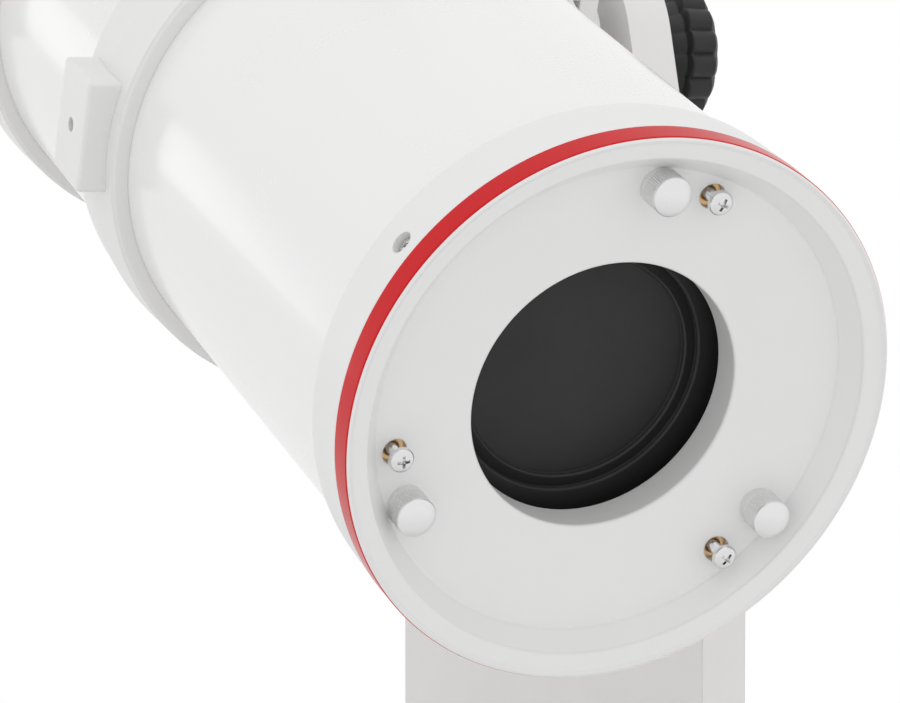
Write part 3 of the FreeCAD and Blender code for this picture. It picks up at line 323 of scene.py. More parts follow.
def buildDustGroup():
    # a thin film of dust where a surface looks up
    inputs = [("Amount", 0.1), ("Speck Size", 0.003)]
    outputs = [("Dust", "NodeSocketFloat")]
    tree, given, result = newGroup("dustFilm", inputs, outputs)
    geometry = tree.nodes.new("ShaderNodeNewGeometry")
    split = tree.nodes.new("ShaderNodeSeparateXYZ")
    tree.links.new(geometry.outputs["Normal"], split.inputs[0])
    upward = mathNode(tree, "MAXIMUM", split.outputs["Z"], 0.0)
    specks = noiseNode(tree, scaledPlace(tree, given.outputs["Speck Size"]), 6.0, 0.7)
    film = mathNode(tree, "MULTIPLY", mathNode(tree, "MULTIPLY", upward, specks), given.outputs["Amount"])
    tree.links.new(film, result.inputs["Dust"])
    return tree


def buildFibreGroup():
    # matted fibres of felt or the pores of rubber
    inputs = [("Fibre Size", 0.0006), ("Fibre Height", 0.00008)]
    outputs = [("Height", "NodeSocketFloat"), ("Fibres", "NodeSocketFloat")]
    tree, given, result = newGroup("mattedFibres", inputs, outputs)
    vector = scaledPlace(tree, given.outputs["Fibre Size"])
    noise = noiseNode(tree, vector, 5.0, 0.7)
    cells = tree.nodes.new("ShaderNodeTexVoronoi")
    cells.inputs["Scale"].default_value = 1.0
    tree.links.new(vector, cells.inputs["Vector"])
    fibres = mathNode(tree, "MULTIPLY", noise, cells.outputs["Distance"])
    tree.links.new(fibres, result.inputs["Fibres"])
    tree.links.new(mathNode(tree, "MULTIPLY", fibres, given.outputs["Fibre Height"]), result.inputs["Height"])
    return tree


skinGroup = buildSkinGroup()
turnedGroup = buildTurnedGroup()
edgeGroup = buildEdgeGroup()
dustGroup = buildDustGroup()
fibreGroup = buildFibreGroup()
print("shader groups built")


# finishes
def newFinish(name, plain):
    material = bpy.data.materials.new(name)
    material.use_nodes = True
    shader = material.node_tree.nodes["Principled BSDF"]
    for label, value in plain.items():
        shader.inputs[label].default_value = value
    return material, material.node_tree, shader


def placeGroup(tree, group, values):
    node = tree.nodes.new("ShaderNodeGroup")
    node.node_tree = group
    for label, value in values.items():
        node.inputs[label].default_value = value
    return node


def bumpFrom(tree, shader, height, normal=None, strength=1.0):
    bump = tree.nodes.new("ShaderNodeBump")
    bump.inputs["Strength"].default_value = strength
    bump.inputs["Distance"].default_value = 1.0
    tree.links.new(height, bump.inputs["Height"])
    if normal is not None:
        tree.links.new(normal, bump.inputs["Normal"])
    tree.links.new(bump.outputs[0], shader.inputs["Normal"])


def mixColour(tree, amount, first, second):
    mix = tree.nodes.new("ShaderNodeMix")
    mix.data_type = "RGBA"
    for label, value in (("Factor", amount), ("A", first), ("B", second)):
        socket = mix.inputs[label]
        if isinstance(value, (tuple, float)):
            socket.default_value = value
        else:
            tree.links.new(value, socket)
    return mix.outputs["Result"]


def spread(tree, value, low, high):
    # carries a 0 to 1 texture onto a range
    reach = tree.nodes.new("ShaderNodeMapRange")
    reach.inputs["From Min"].default_value = 0.25
    reach.inputs["From Max"].default_value = 0.75
    reach.inputs["To Min"].default_value = low
    reach.inputs["To Max"].default_value = high
    tree.links.new(value, reach.inputs["Value"])
    return reach.outputs[0]


def paintedFinish(name, look):
    material, tree, shader = newFinish(name, look["plain"])
    skin = placeGroup(tree, skinGroup, look["skin"])
    edge = placeGroup(tree, edgeGroup, look["edge"])
    dust = placeGroup(tree, dustGroup, look["dust"])
    mottled = mixColour(tree, skin.outputs["Mottle"], look["colour"], look["shade"])
    worn = mixColour(tree, edge.outputs["Edge"], mottled, look["wornColour"])
    dusty = mixColour(tree, dust.outputs["Dust"], worn, look["dustColour"])
    tree.links.new(dusty, shader.inputs["Base Color"])
    gloss = spread(tree, skin.outputs["Mottle"], *look["roughness"])
    tree.links.new(mathNode(tree, "ADD", gloss, dust.outputs["Dust"]), shader.inputs["Roughness"])
    bumpFrom(tree, shader, skin.outputs["Height"], edge.outputs["Normal"])
    return material


def machinedFinish(name, look):
    material, tree, shader = newFinish(name, look["plain"])
    marks = placeGroup(tree, turnedGroup, look["marks"])
    edge = placeGroup(tree, edgeGroup, look["edge"])
    shade = mixColour(tree, marks.outputs["Marks"], look["colour"], look["shade"])
    worn = mixColour(tree, edge.outputs["Edge"], shade, look["wornColour"])
    tree.links.new(worn, shader.inputs["Base Color"])
    tree.links.new(spread(tree, marks.outputs["Marks"], *look["roughness"]), shader.inputs["Roughness"])
    bumpFrom(tree, shader, marks.outputs["Height"], edge.outputs["Normal"])
    return material


def fibrousFinish(name, look):
    material, tree, shader = newFinish(name, look["plain"])
    fibre = placeGroup(tree, fibreGroup, look["fibre"])
    dust = placeGroup(tree, dustGroup, look["dust"])
    shade = mixColour(tree, fibre.outputs["Fibres"], look["colour"], look["shade"])
    dusty = mixColour(tree, dust.outputs["Dust"], shade, look["dustColour"])
    tree.links.new(dusty, shader.inputs["Base Color"])
    tree.links.new(spread(tree, fibre.outputs["Fibres"], *look["roughness"]), shader.inputs["Roughness"])
    bumpFrom(tree, shader, fibre.outputs["Height"])
    return material


def grey(value, warm=0.0):
    return (value * (1 + warm), value, value * (1 - warm), 1.0)


tubeGloss = paintedFinish("tubeGlossPaint", {
    "plain": {"Coat Weight": 0.5, "Coat Roughness": 0.13, "Specular IOR Level": 0.4},
    "skin": {"Ripple Size": 0.006, "Ripple Height": 0.0000035,
             "Grain Size": 0.0007, "Grain Height": 0.0000003},
    "edge": {"Rounding": 0.0003, "Wear": 0.3, "Break Size": 0.003},
    "dust": {"Amount": 0.04, "Speck Size": 0.002},
    "colour": grey(0.84, 0.004), "shade": grey(0.82, 0.004),
    "wornColour": grey(0.7), "dustColour": grey(0.75, 0.02),
    "roughness": (0.22, 0.28)})
castSatin = paintedFinish("castSatinPaint", {
    "plain": {"Specular IOR Level": 0.4},
    "skin": {"Ripple Size": 0.0022, "Ripple Height": 0.000006,
             "Grain Size": 0.0005, "Grain Height": 0.000003},
    "edge": {"Rounding": 0.0007, "Wear": 0.4, "Break Size": 0.002},
    "dust": {"Amount": 0.05, "Speck Size": 0.002},
    "colour": grey(0.80, 0.004), "shade": grey(0.775, 0.004),
    "wornColour": grey(0.86), "dustColour": grey(0.7, 0.02),
    "roughness": (0.34, 0.44)})
redBand = paintedFinish("redBandGloss", {
    "plain": {"Coat Weight": 0.2, "Coat Roughness": 0.12, "Specular IOR Level": 0.08},
    "skin": {"Ripple Size": 0.004, "Ripple Height": 0.000002,
             "Grain Size": 0.0005, "Grain Height": 0.0000004},
    "edge": {"Rounding": 0.0003, "Wear": 0.1, "Break Size": 0.002},
    "dust": {"Amount": 0.02, "Speck Size": 0.002},
    "colour": (0.62, 0.0, 0.004, 1), "shade": (0.54, 0.0, 0.004, 1), "wornColour": (0.7, 0.06, 0.06, 1),
    "dustColour": (0.75, 0.25, 0.25, 1), "roughness": (0.2, 0.28)})
blackMetal = paintedFinish("mattBlackPaint", {
    "plain": {"Specular IOR Level": 0.35},
    "skin": {"Ripple Size": 0.0018, "Ripple Height": 0.000008,
             "Grain Size": 0.0004, "Grain Height": 0.000004},
    "edge": {"Rounding": 0.0004, "Wear": 0.35, "Break Size": 0.0015},
    "dust": {"Amount": 0.05, "Speck Size": 0.0015},
    "colour": grey(0.024), "shade": grey(0.017), "wornColour": grey(0.12), "dustColour": grey(0.25),
    "roughness": (0.42, 0.55)})
tubeInside = paintedFinish("flatBlackInside", {
    "plain": {"Specular IOR Level": 0.15},
    "skin": {"Ripple Size": 0.0012, "Ripple Height": 0.00002,
             "Grain Size": 0.0004, "Grain Height": 0.00001},
    "edge": {"Rounding": 0.0002, "Wear": 0.0, "Break Size": 0.0015},
    "dust": {"Amount": 0.08, "Speck Size": 0.001},
    "colour": grey(0.014), "shade": grey(0.009), "wornColour": grey(0.03), "dustColour": grey(0.15),
    "roughness": (0.85, 0.95)})
mouldedBlack = paintedFinish("mouldedBlackPlastic", {
    "plain": {"Specular IOR Level": 0.45},
    "skin": {"Ripple Size": 0.0009, "Ripple Height": 0.00001,
             "Grain Size": 0.00025, "Grain Height": 0.000005},
    "edge": {"Rounding": 0.0005, "Wear": 0.4, "Break Size": 0.001},
    "dust": {"Amount": 0.08, "Speck Size": 0.001},
    "colour": grey(0.012), "shade": grey(0.008), "wornColour": grey(0.05), "dustColour": grey(0.3),
    "roughness": (0.38, 0.5)})
boardWhite = paintedFinish("facedBoardWhite", {
    "plain": {"Specular IOR Level": 0.35},
    "skin": {"Ripple Size": 0.0016, "Ripple Height": 0.000007,
             "Grain Size": 0.0005, "Grain Height": 0.000003},
    "edge": {"Rounding": 0.0006, "Wear": 0.5, "Break Size": 0.002},
    "dust": {"Amount": 0.06, "Speck Size": 0.002},
    "colour": grey(0.78, 0.012), "shade": grey(0.755, 0.016),
    "wornColour": grey(0.66, 0.03), "dustColour": grey(0.6, 0.02),
    "roughness": (0.38, 0.5)})
slidingPad = paintedFinish("waxyPadPlastic", {
    "plain": {"Specular IOR Level": 0.3, "Subsurface Weight": 0.1},
    "skin": {"Ripple Size": 0.003, "Ripple Height": 0.00001,
             "Grain Size": 0.0006, "Grain Height": 0.000003},
    "edge": {"Rounding": 0.0004, "Wear": 0.2, "Break Size": 0.001},
    "dust": {"Amount": 0.1, "Speck Size": 0.001},
    "colour": grey(0.72, 0.01), "shade": grey(0.66, 0.02), "wornColour": grey(0.6), "dustColour": grey(0.45),
    "roughness": (0.3, 0.4)})
satinAluminium = machinedFinish("satinAluminium", {
    "plain": {"Metallic": 1.0},
    "marks": {"Mark Size": 0.00018, "Mark Height": 0.0000012},
    "edge": {"Rounding": 0.0003, "Wear": 0.3, "Break Size": 0.0008},
    "colour": grey(0.86), "shade": grey(0.78), "wornColour": grey(0.92), "roughness": (0.28, 0.4)})
brightScrew = machinedFinish("brightPlatedScrew", {
    "plain": {"Metallic": 1.0},
    "marks": {"Mark Size": 0.00035, "Mark Height": 0.0000006},
    "edge": {"Rounding": 0.00015, "Wear": 0.4, "Break Size": 0.0006},
    "colour": grey(0.82), "shade": grey(0.72), "wornColour": grey(0.9), "roughness": (0.1, 0.18)})
brassInsert = machinedFinish("turnedBrass", {
    "plain": {"Metallic": 1.0},
    "marks": {"Mark Size": 0.00015, "Mark Height": 0.000002},
    "edge": {"Rounding": 0.0002, "Wear": 0.6, "Break Size": 0.0005},
    "colour": (0.78, 0.55, 0.30, 1), "shade": (0.62, 0.40, 0.20, 1), "wornColour": (0.9, 0.72, 0.45, 1),
    "roughness": (0.26, 0.42)})
zincScrew = machinedFinish("zincPlatedSteel", {
    "plain": {"Metallic": 1.0},
    "marks": {"Mark Size": 0.0005, "Mark Height": 0.000001},
    "edge": {"Rounding": 0.0002, "Wear": 0.5, "Break Size": 0.001},
    "colour": grey(0.62, 0.01), "shade": grey(0.5, 0.01), "wornColour": grey(0.72),
    "roughness": (0.25, 0.38)})
feltLiner = fibrousFinish("mattedFelt", {
    "plain": {"Sheen Weight": 0.4, "Sheen Roughness": 0.5},
    "fibre": {"Fibre Size": 0.0007, "Fibre Height": 0.0002}, "dust": {"Amount": 0.05, "Speck Size": 0.001},
    "colour": grey(0.012), "shade": grey(0.04), "dustColour": grey(0.2), "roughness": (0.85, 1.0)})
rubberFoot = fibrousFinish("mouldedRubber", {
    "plain": {"Specular IOR Level": 0.35},
    "fibre": {"Fibre Size": 0.0009, "Fibre Height": 0.00003}, "dust": {"Amount": 0.3, "Speck Size": 0.0015},
    "colour": grey(0.02), "shade": grey(0.035), "dustColour": grey(0.2), "roughness": (0.6, 0.8)})
coatedGlass = machinedFinish("coatedMirrorGlass", {
    "plain": {"Metallic": 1.0, "Coat Weight": 0.3},
    "marks": {"Mark Size": 0.02, "Mark Height": 0.0},
    "edge": {"Rounding": 0.0003, "Wear": 0.1, "Break Size": 0.002},
    "colour": (0.90, 0.92, 0.94, 1), "shade": (0.88, 0.90, 0.93, 1), "wornColour": grey(0.7),
    "roughness": (0.01, 0.02)})
slotFinish = {
    "white_tube_paint": tubeGloss, "white_cast_paint": castSatin, "white_board": boardWhite,
    "red_gloss": redBand, "black_plastic": mouldedBlack, "black_metal": blackMetal,
    "satin_aluminium": satinAluminium, "bright_steel": brightScrew, "brass": brassInsert, "steel": zincScrew,
    "ptfe": slidingPad, "felt": feltLiner, "rubber": rubberFoot, "mirror": coatedGlass}
for part in frame["record"]["subparts"]:
    node = nodes[part["node"]]
    node.data.materials.clear()
    node.data.materials.append(slotFinish[part["material_slot"]])
print("finishes built")

# rear cell: rolled lip, recessed plate with a round window, adjuster holes and side screw pockets
cell = {"rim": 91.0, "lipFlat": 89.4, "lipInner": 84.0, "lipDrop": 1.7, "wallFoot": 83.2, "wallFillet": 5.5,
        "plateTop": 14.0, "plateEnd": 26.3, "window": 45.0, "skirtEnd": 30.3, "socketGap": 0.1,
        "bandStart": 0.55, "bandWidth": 9.05, "bandDepth": 0.9, "bandProud": 0.03, "bandGap": 0.02,
        "circle": 72.0, "knobs": (87.0, 207.0, 327.0), "studHole": 2.6, "lockTurn": -15.25, "insert": 4.22,
        "sideTurn": 58.7, "sideAlong": 17.1, "pocket": 3.6, "pocketFloor": 0.5,
        "holeStart": -5, "holeEnd": 40}


def cellOutline():
    groove = cell["rim"] - cell["bandDepth"]
    bandEnd = cell["bandStart"] + cell["bandWidth"]
    socket = optics["tubeRadius"] + cell["socketGap"]
    return softOutline([
        (cell["window"], cell["plateTop"], 0.9), (cell["wallFoot"], cell["plateTop"], cell["wallFillet"]),
        (cell["lipInner"], cell["lipDrop"], 0.9), (cell["lipFlat"], 0, 1.2), (cell["rim"], 0, 0.45),
        (cell["rim"], cell["bandStart"], 0), (groove, cell["bandStart"], 0), (groove, bandEnd, 0),
        (cell["rim"], bandEnd, 0.1),
        (cell["rim"], cell["skirtEnd"], 0.8), (socket, cell["skirtEnd"], 0.2),
        (socket, cell["plateEnd"], 0), (cell["window"], cell["plateEnd"], 0.9)], 7)


def makeRearCell():
    body = toObject("rearCell", turnedShape(cellOutline(), 256), alongTube())
    cuts = []
    start = cell["holeStart"]
    end = cell["holeEnd"]
    for phi in cell["knobs"]:
        lockPlace = alongTube(cell["circle"], phi + cell["lockTurn"])
        cuts.append(toObject("cut", rodShape(cell["studHole"], start, end), alongTube(cell["circle"], phi)))
        cuts.append(toObject("cut", rodShape(cell["insert"], start, end, 40), lockPlace))
        floor = optics["tubeRadius"] + cell["pocketFloor"]
        pocket = outOfTube(floor, phi + cell["sideTurn"], cell["sideAlong"])
        cuts.append(toObject("cut", rodShape(cell["pocket"], 0, 8, 48), pocket))
    reshape(body, cuts=cuts)
    finishPiece(body, castSatin, "tube", ["rear_cell"])


def makeAccentBand(name, node, start):
    # the band stands a hair proud of its groove
    outer = cell["rim"] + cell["bandProud"]
    inner = cell["rim"] - cell["bandDepth"]
    end = start + cell["bandWidth"] - 2 * cell["bandGap"]
    outline = softOutline([(inner, start, 0), (outer, start, 0.25), (outer, end, 0.25), (inner, end, 0)])
    band = toObject(name, turnedShape(outline, 256), alongTube())
    finishPiece(band, redBand, "tube", [node])


frontRing = {"length": 19.0, "seatDepth": 10.8}


def makeFrontRing():
    length = optics["tubeLength"]
    rear = length - frontRing["length"]
    seat = length - frontRing["seatDepth"]
    groove = cell["rim"] - cell["bandDepth"]
    bandStart = length - cell["bandStart"] - cell["bandWidth"]
    bandEnd = length - cell["bandStart"]
    socket = optics["tubeRadius"] + cell["socketGap"]
    outline = softOutline([
        (socket, rear, 0.2), (cell["rim"], rear, 0.8), (cell["rim"], bandStart, 0.1), (groove, bandStart, 0),
        (groove, bandEnd, 0), (cell["rim"], bandEnd, 0), (cell["rim"], length, 0.45),
        (cell["lipFlat"], length, 1.2),
        (cell["lipInner"], length - cell["lipDrop"], 0.9), (cell["lipInner"], seat, 0.4), (socket, seat, 0)])
    ring = toObject("frontEndRing", turnedShape(outline, 256), alongTube())
    finishPiece(ring, castSatin, "tube", ["front_end_ring"])


makeRearCell()
makeAccentBand("rearAccentBand", "rear_accent_band", cell["bandStart"] + cell["bandGap"])
makeAccentBand("frontAccentBand", "front_accent_band",
               optics["tubeLength"] - cell["bandStart"] - cell["bandWidth"] + cell["bandGap"])
makeFrontRing()
print("rear cell, front ring and bands made")

# main tube: rolled sheet, gloss outside and flat black inside
tubeShell = {"start": 11.1, "end": 678.9, "throat": 31.5, "throatLength": 40.0, "focuserPhi": 135.0,
             "focuserAlong": 600.0}


def makeTube():
    outer = optics["tubeRadius"]
    inner = outer - optics["tubeWall"]
    start = tubeShell["start"]
    end = tubeShell["end"]
    outline = [(outer, start), (outer, end), (inner, end), (inner, start)]
    shell = toObject("mainTube", turnedShape(outline, 320), alongTube())
    length = tubeShell["throatLength"]
    place = outOfTube(outer - length / 2, tubeShell["focuserPhi"], tubeShell["focuserAlong"])
    throat = toObject("cut", rodShape(tubeShell["throat"], 0, length, 64), place)
    reshape(shell, cuts=[throat])
    finishPiece(shell, tubeGloss, "tube", ["main_tube"])
    shell.data.materials.append(tubeInside)
    middle = (inner + outer) / 2 * mm
    for face in shell.data.polygons:
        reach = Vector(face.center[:2]).length
        facesIn = face.normal.x * face.center[0] + face.normal.y * face.center[1] < 0
        if reach < middle and facesIn:
            face.material_index = 1


makeTube()
print("tube made")

# collimation knobs: turned aluminium with a knurled band behind a domed cap
knobStyle = {"radius": 6.5, "height": 15.4, "dome": 2.4, "knurlStart": 3.7, "knurlEnd": 9.7, "flutes": 54,
             "knurlDepth": 0.3, "stud": 2.5, "studEnd": 40.0, "shoulder": 1.3, "plateGap": 0.3}


def knobRipple(radius, along, turn):
    top = cell["plateTop"] - knobStyle["plateGap"] - knobStyle["height"]
    inside = knobStyle["knurlStart"] <= along - top <= knobStyle["knurlEnd"]
    if not inside or radius < knobStyle["radius"] - 0.05:
        return radius
    return radius - knobStyle["knurlDepth"] * (0.5 + 0.5 * math.cos(turn * knobStyle["flutes"]))


def knobOutline():
    base = cell["plateTop"] - knobStyle["plateGap"]
    top = base - knobStyle["height"]
    radius = knobStyle["radius"]
    points = []
    capArc = 10
    ballRadius = (radius ** 2 + knobStyle["dome"] ** 2) / (2 * knobStyle["dome"])
    soft = knobStyle["shoulder"]
    for step in range(capArc + 1):
        across = (radius - soft) * step / capArc
        points.append((across, top + ballRadius - math.sqrt(ballRadius ** 2 - across ** 2)))
    ledge = points[-1][1]
    for step in range(1, 6):
        turn = math.pi / 2 * (0.25 + 0.15 * step)
        across = radius - soft * (1 - math.sin(turn)) / (1 - math.sin(math.pi / 8))
        points.append((across, ledge + soft * (1.1 - math.cos(turn))))
    points += [(radius, top + knobStyle["knurlStart"] - 0.15), (radius, top + knobStyle["knurlStart"])]
    points += [(radius, top + knobStyle["knurlEnd"]), (radius, top + knobStyle["knurlEnd"] + 0.15)]
    points += [(radius, base - 0.5), (radius - 0.15, base - 0.15), (radius - 0.5, base)]
    stud = knobStyle["stud"]
    points += [(stud, base), (stud, knobStyle["studEnd"]), (0, knobStyle["studEnd"])]
    return points


for index, phi in enumerate(cell["knobs"]):
    number = index + 1
    knob = toObject(f"collimationKnob{number}", turnedShape(knobOutline(), 324, knobRipple),
                    alongTube(cell["circle"], phi))
    finishPiece(knob, satinAluminium, f"collimation_knob_{number}",
                [f"collimation_knob_{number}"], 40)
print("knobs made")

# lock screws: plated pan heads with a cross recess, threaded shanks through brass inserts
screwStyle = {"head": 4.1, "headHeight": 3.0, "headBase": 5.4, "thread": 2.0, "pitch": 0.7,
              "threadDepth": 0.32,
              "tip": 33.9, "crossLength": 2.75, "crossWidth": 1.0, "crossDepth": 2.0,
              "crossTurns": (20.0, -8.0, 32.0)}


def panHead(radius, height, base):
    # the head looks along -z, with its dome at base minus height
    points = [(0, base - height)]
    domeSteps = 8
    flank = height * 0.3
    for step in range(1, domeSteps + 1):
        turn = math.pi / 2 * step / domeSteps
        points.append((radius * math.sin(turn) ** 0.9, base - flank - (height - flank) * math.cos(turn)))
    points += [(radius, base - 0.15), (radius - 0.15, base), (0, base)]
    return turnedShape(points, 64)


def crossCutter(length, width, depth, top, turn):
    # two tapering arms and a pointed centre
    shapes = []
    for quarter in (0, 90):
        arm = blockShape((-length, -width / 2, top - 1.0), (length, width / 2, top + depth))
        for vert in arm.verts:
            if vert.co.z > (top + depth * 0.5) * mm:
                vert.co.x *= 0.42
                vert.co.y *= 0.8
        shapes.append(movedShape(arm, Matrix.Rotation(math.radians(turn + quarter), 4, "Z")))
    return shapes


def makeCrossScrew(name, place, style, turn, shank):
    top = style["base"] - style["height"]
    head = toObject(name, panHead(style["radius"], style["height"], style["base"]), place)
    arms = crossCutter(style["cross"], style["crossWidth"], style["crossDepth"], top, turn)
    cuts = [toObject("cut", arm, place) for arm in arms]
    floor = top + style["crossDepth"]
    core = [(0, top - 1), (style["crossWidth"] * 0.95, top - 1), (style["crossWidth"] * 0.7, floor),
            (0, floor + 0.5)]
    cuts.append(toObject("cut", turnedShape(core, 16), place))
    reshape(head, adds=[toObject("add", shank, place)], cuts=cuts)
    return head


lockHead = {"radius": screwStyle["head"], "height": screwStyle["headHeight"], "base": screwStyle["headBase"],
            "cross": screwStyle["crossLength"], "crossWidth": screwStyle["crossWidth"],
            "crossDepth": screwStyle["crossDepth"]}
for index, phi in enumerate(cell["knobs"]):
    number = index + 1
    place = alongTube(cell["circle"], phi + cell["lockTurn"])
    shank = threadShape(screwStyle["thread"], screwStyle["headBase"] - 0.5, screwStyle["tip"],
                        screwStyle["pitch"], screwStyle["threadDepth"])
    screw = makeCrossScrew(f"lockScrew{number}", place, lockHead, screwStyle["crossTurns"][index], shank)
    finishPiece(screw, brightScrew, f"lock_screw_{number}", [f"lock_screw_{number}"], 30)

insertStyle = {"outer": 4.2, "inner": 2.75, "proud": 0.7, "depth": 8.0}


def makeInserts():
    top = cell["plateTop"] - insertStyle["proud"]
    outline = softOutline([
        (insertStyle["inner"], top, 0.35), (insertStyle["outer"], top, 0.2),
        (insertStyle["outer"], cell["plateTop"] + insertStyle["depth"], 0),
        (insertStyle["inner"], cell["plateTop"] + insertStyle["depth"], 0)])
    for index, phi in enumerate(cell["knobs"]):
        place = alongTube(cell["circle"], phi + cell["lockTurn"])
        sleeve = toObject(f"lockInsert{index + 1}", turnedShape(outline, 64), place)
        finishPiece(sleeve, brassInsert, "tube", ["lock_inserts"])


sideHead = {"radius": 3.2, "height": 1.9, "base": 0.0, "cross": 2.1, "crossWidth": 0.8, "crossDepth": 1.4}
sideShank = {"radius": 1.75, "start": -0.3, "end": 8.5, "pitch": 0.6, "depth": 0.25, "seat": 0.55}


def makeSideScrews():
    for index, phi in enumerate(cell["knobs"]):
        # local z is turned to point inwards, so that the head faces out
        seat = outOfTube(optics["tubeRadius"] + sideShank["seat"], phi + cell["sideTurn"], cell["sideAlong"])
        place = seat @ Matrix.Rotation(math.pi, 4, "X")
        shank = threadShape(sideShank["radius"], sideShank["start"], sideShank["end"], sideShank["pitch"],
                            sideShank["depth"])
        screw = makeCrossScrew(f"cellScrew{index + 1}", place, sideHead, 25 + 30 * index, shank)
        finishPiece(screw, brightScrew, "tube", ["cell_screws"], 30)


makeInserts()
makeSideScrews()
print("screws made")

# mirror cell: stepped black disc seen through the window
mirrorCell = {"back": 34.3, "radius": 81.4, "front": 43.3, "stepOuter": 42.0, "stepInner": 38.0,
              "stepDepth": 1.5, "floor": 37.3, "seatOuter": 67.0, "seatInner": 55.0, "seatRise": 2.0}


def makeMirrorCell():
    step = mirrorCell["back"] + mirrorCell["stepDepth"]
    front = mirrorCell["front"]
    seat = front + mirrorCell["seatRise"]
    outline = softOutline([
        (0, mirrorCell["floor"], 0), (mirrorCell["stepInner"], mirrorCell["floor"], 0.8),
        (mirrorCell["stepInner"], step, 0.4), (mirrorCell["stepOuter"], step, 0.5),
        (mirrorCell["stepOuter"], mirrorCell["back"], 0.5), (mirrorCell["radius"], mirrorCell["back"], 0.8),
        (mirrorCell["radius"], front, 0.8), (mirrorCell["seatOuter"], front, 0),
        (mirrorCell["seatOuter"], seat, 0),
        (mirrorCell["seatInner"], seat, 0), (mirrorCell["seatInner"], front, 0), (0, front, 0)])
    disc = toObject("mirrorCell", turnedShape(outline, 192), alongTube())
    finishPiece(disc, blackMetal, "primary_cell", ["mirror_cell"])


makeMirrorCell()
print("mirror cell made")

# tube rings: gabled bands in two halves, with a threaded boss, clamp lugs and hinge knuckles
ring = {"middles": (241.0, 398.0), "width": 40.0, "bore": 89.2, "mouth": 87.85, "mouthDepth": 1.7,
        "edge": 92.9, "crown": 94.4, "split": 0.4,
        "bossFace": 103.0, "bossHeight": 40.5, "bossRise": 3.2, "bossLength": 28.0,
        "bossHole": 2.55, "holeDepth": 11.0,
        "padFace": 100.0, "padHeight": 43.0, "padLength": 36.0, "lugThickness": 12.0, "lugLength": 20.0,
        "clampHole": 3.4, "clampZ": 107.0, "lugTop": 114.5, "hingeZ": -101.1, "barrel": 6.0,
        "hingeMiddle": 12.0, "hingeLength": 30.0, "hingeGap": 0.3}


def ringOutline(middle):
    half = ring["width"] / 2
    lipEnd = half - ring["mouthDepth"]
    return softOutline([
        (ring["mouth"], middle - half + 0.3, 0.2), (ring["edge"] - 0.4, middle - half, 0.9),
        (ring["edge"], middle - half + 1.2, 0.4), (ring["crown"], middle, 0.6),
        (ring["edge"], middle + half - 1.2, 0.4), (ring["edge"] - 0.4, middle + half, 0.9),
        (ring["mouth"], middle + half - 0.3, 0.2), (ring["mouth"], middle + lipEnd, 0),
        (ring["bore"], middle + lipEnd, 0), (ring["bore"], middle - lipEnd, 0),
        (ring["mouth"], middle - lipEnd, 0)])


def tubeBlock(low, high, rounding):
    return toObject("add", blockShape(low, high, rounding), tubeMatrix)


def tubeRod(radius, place, steps=48, length=200.0):
    return toObject("cut", rodShape(radius, -length / 2, length / 2, steps), place)


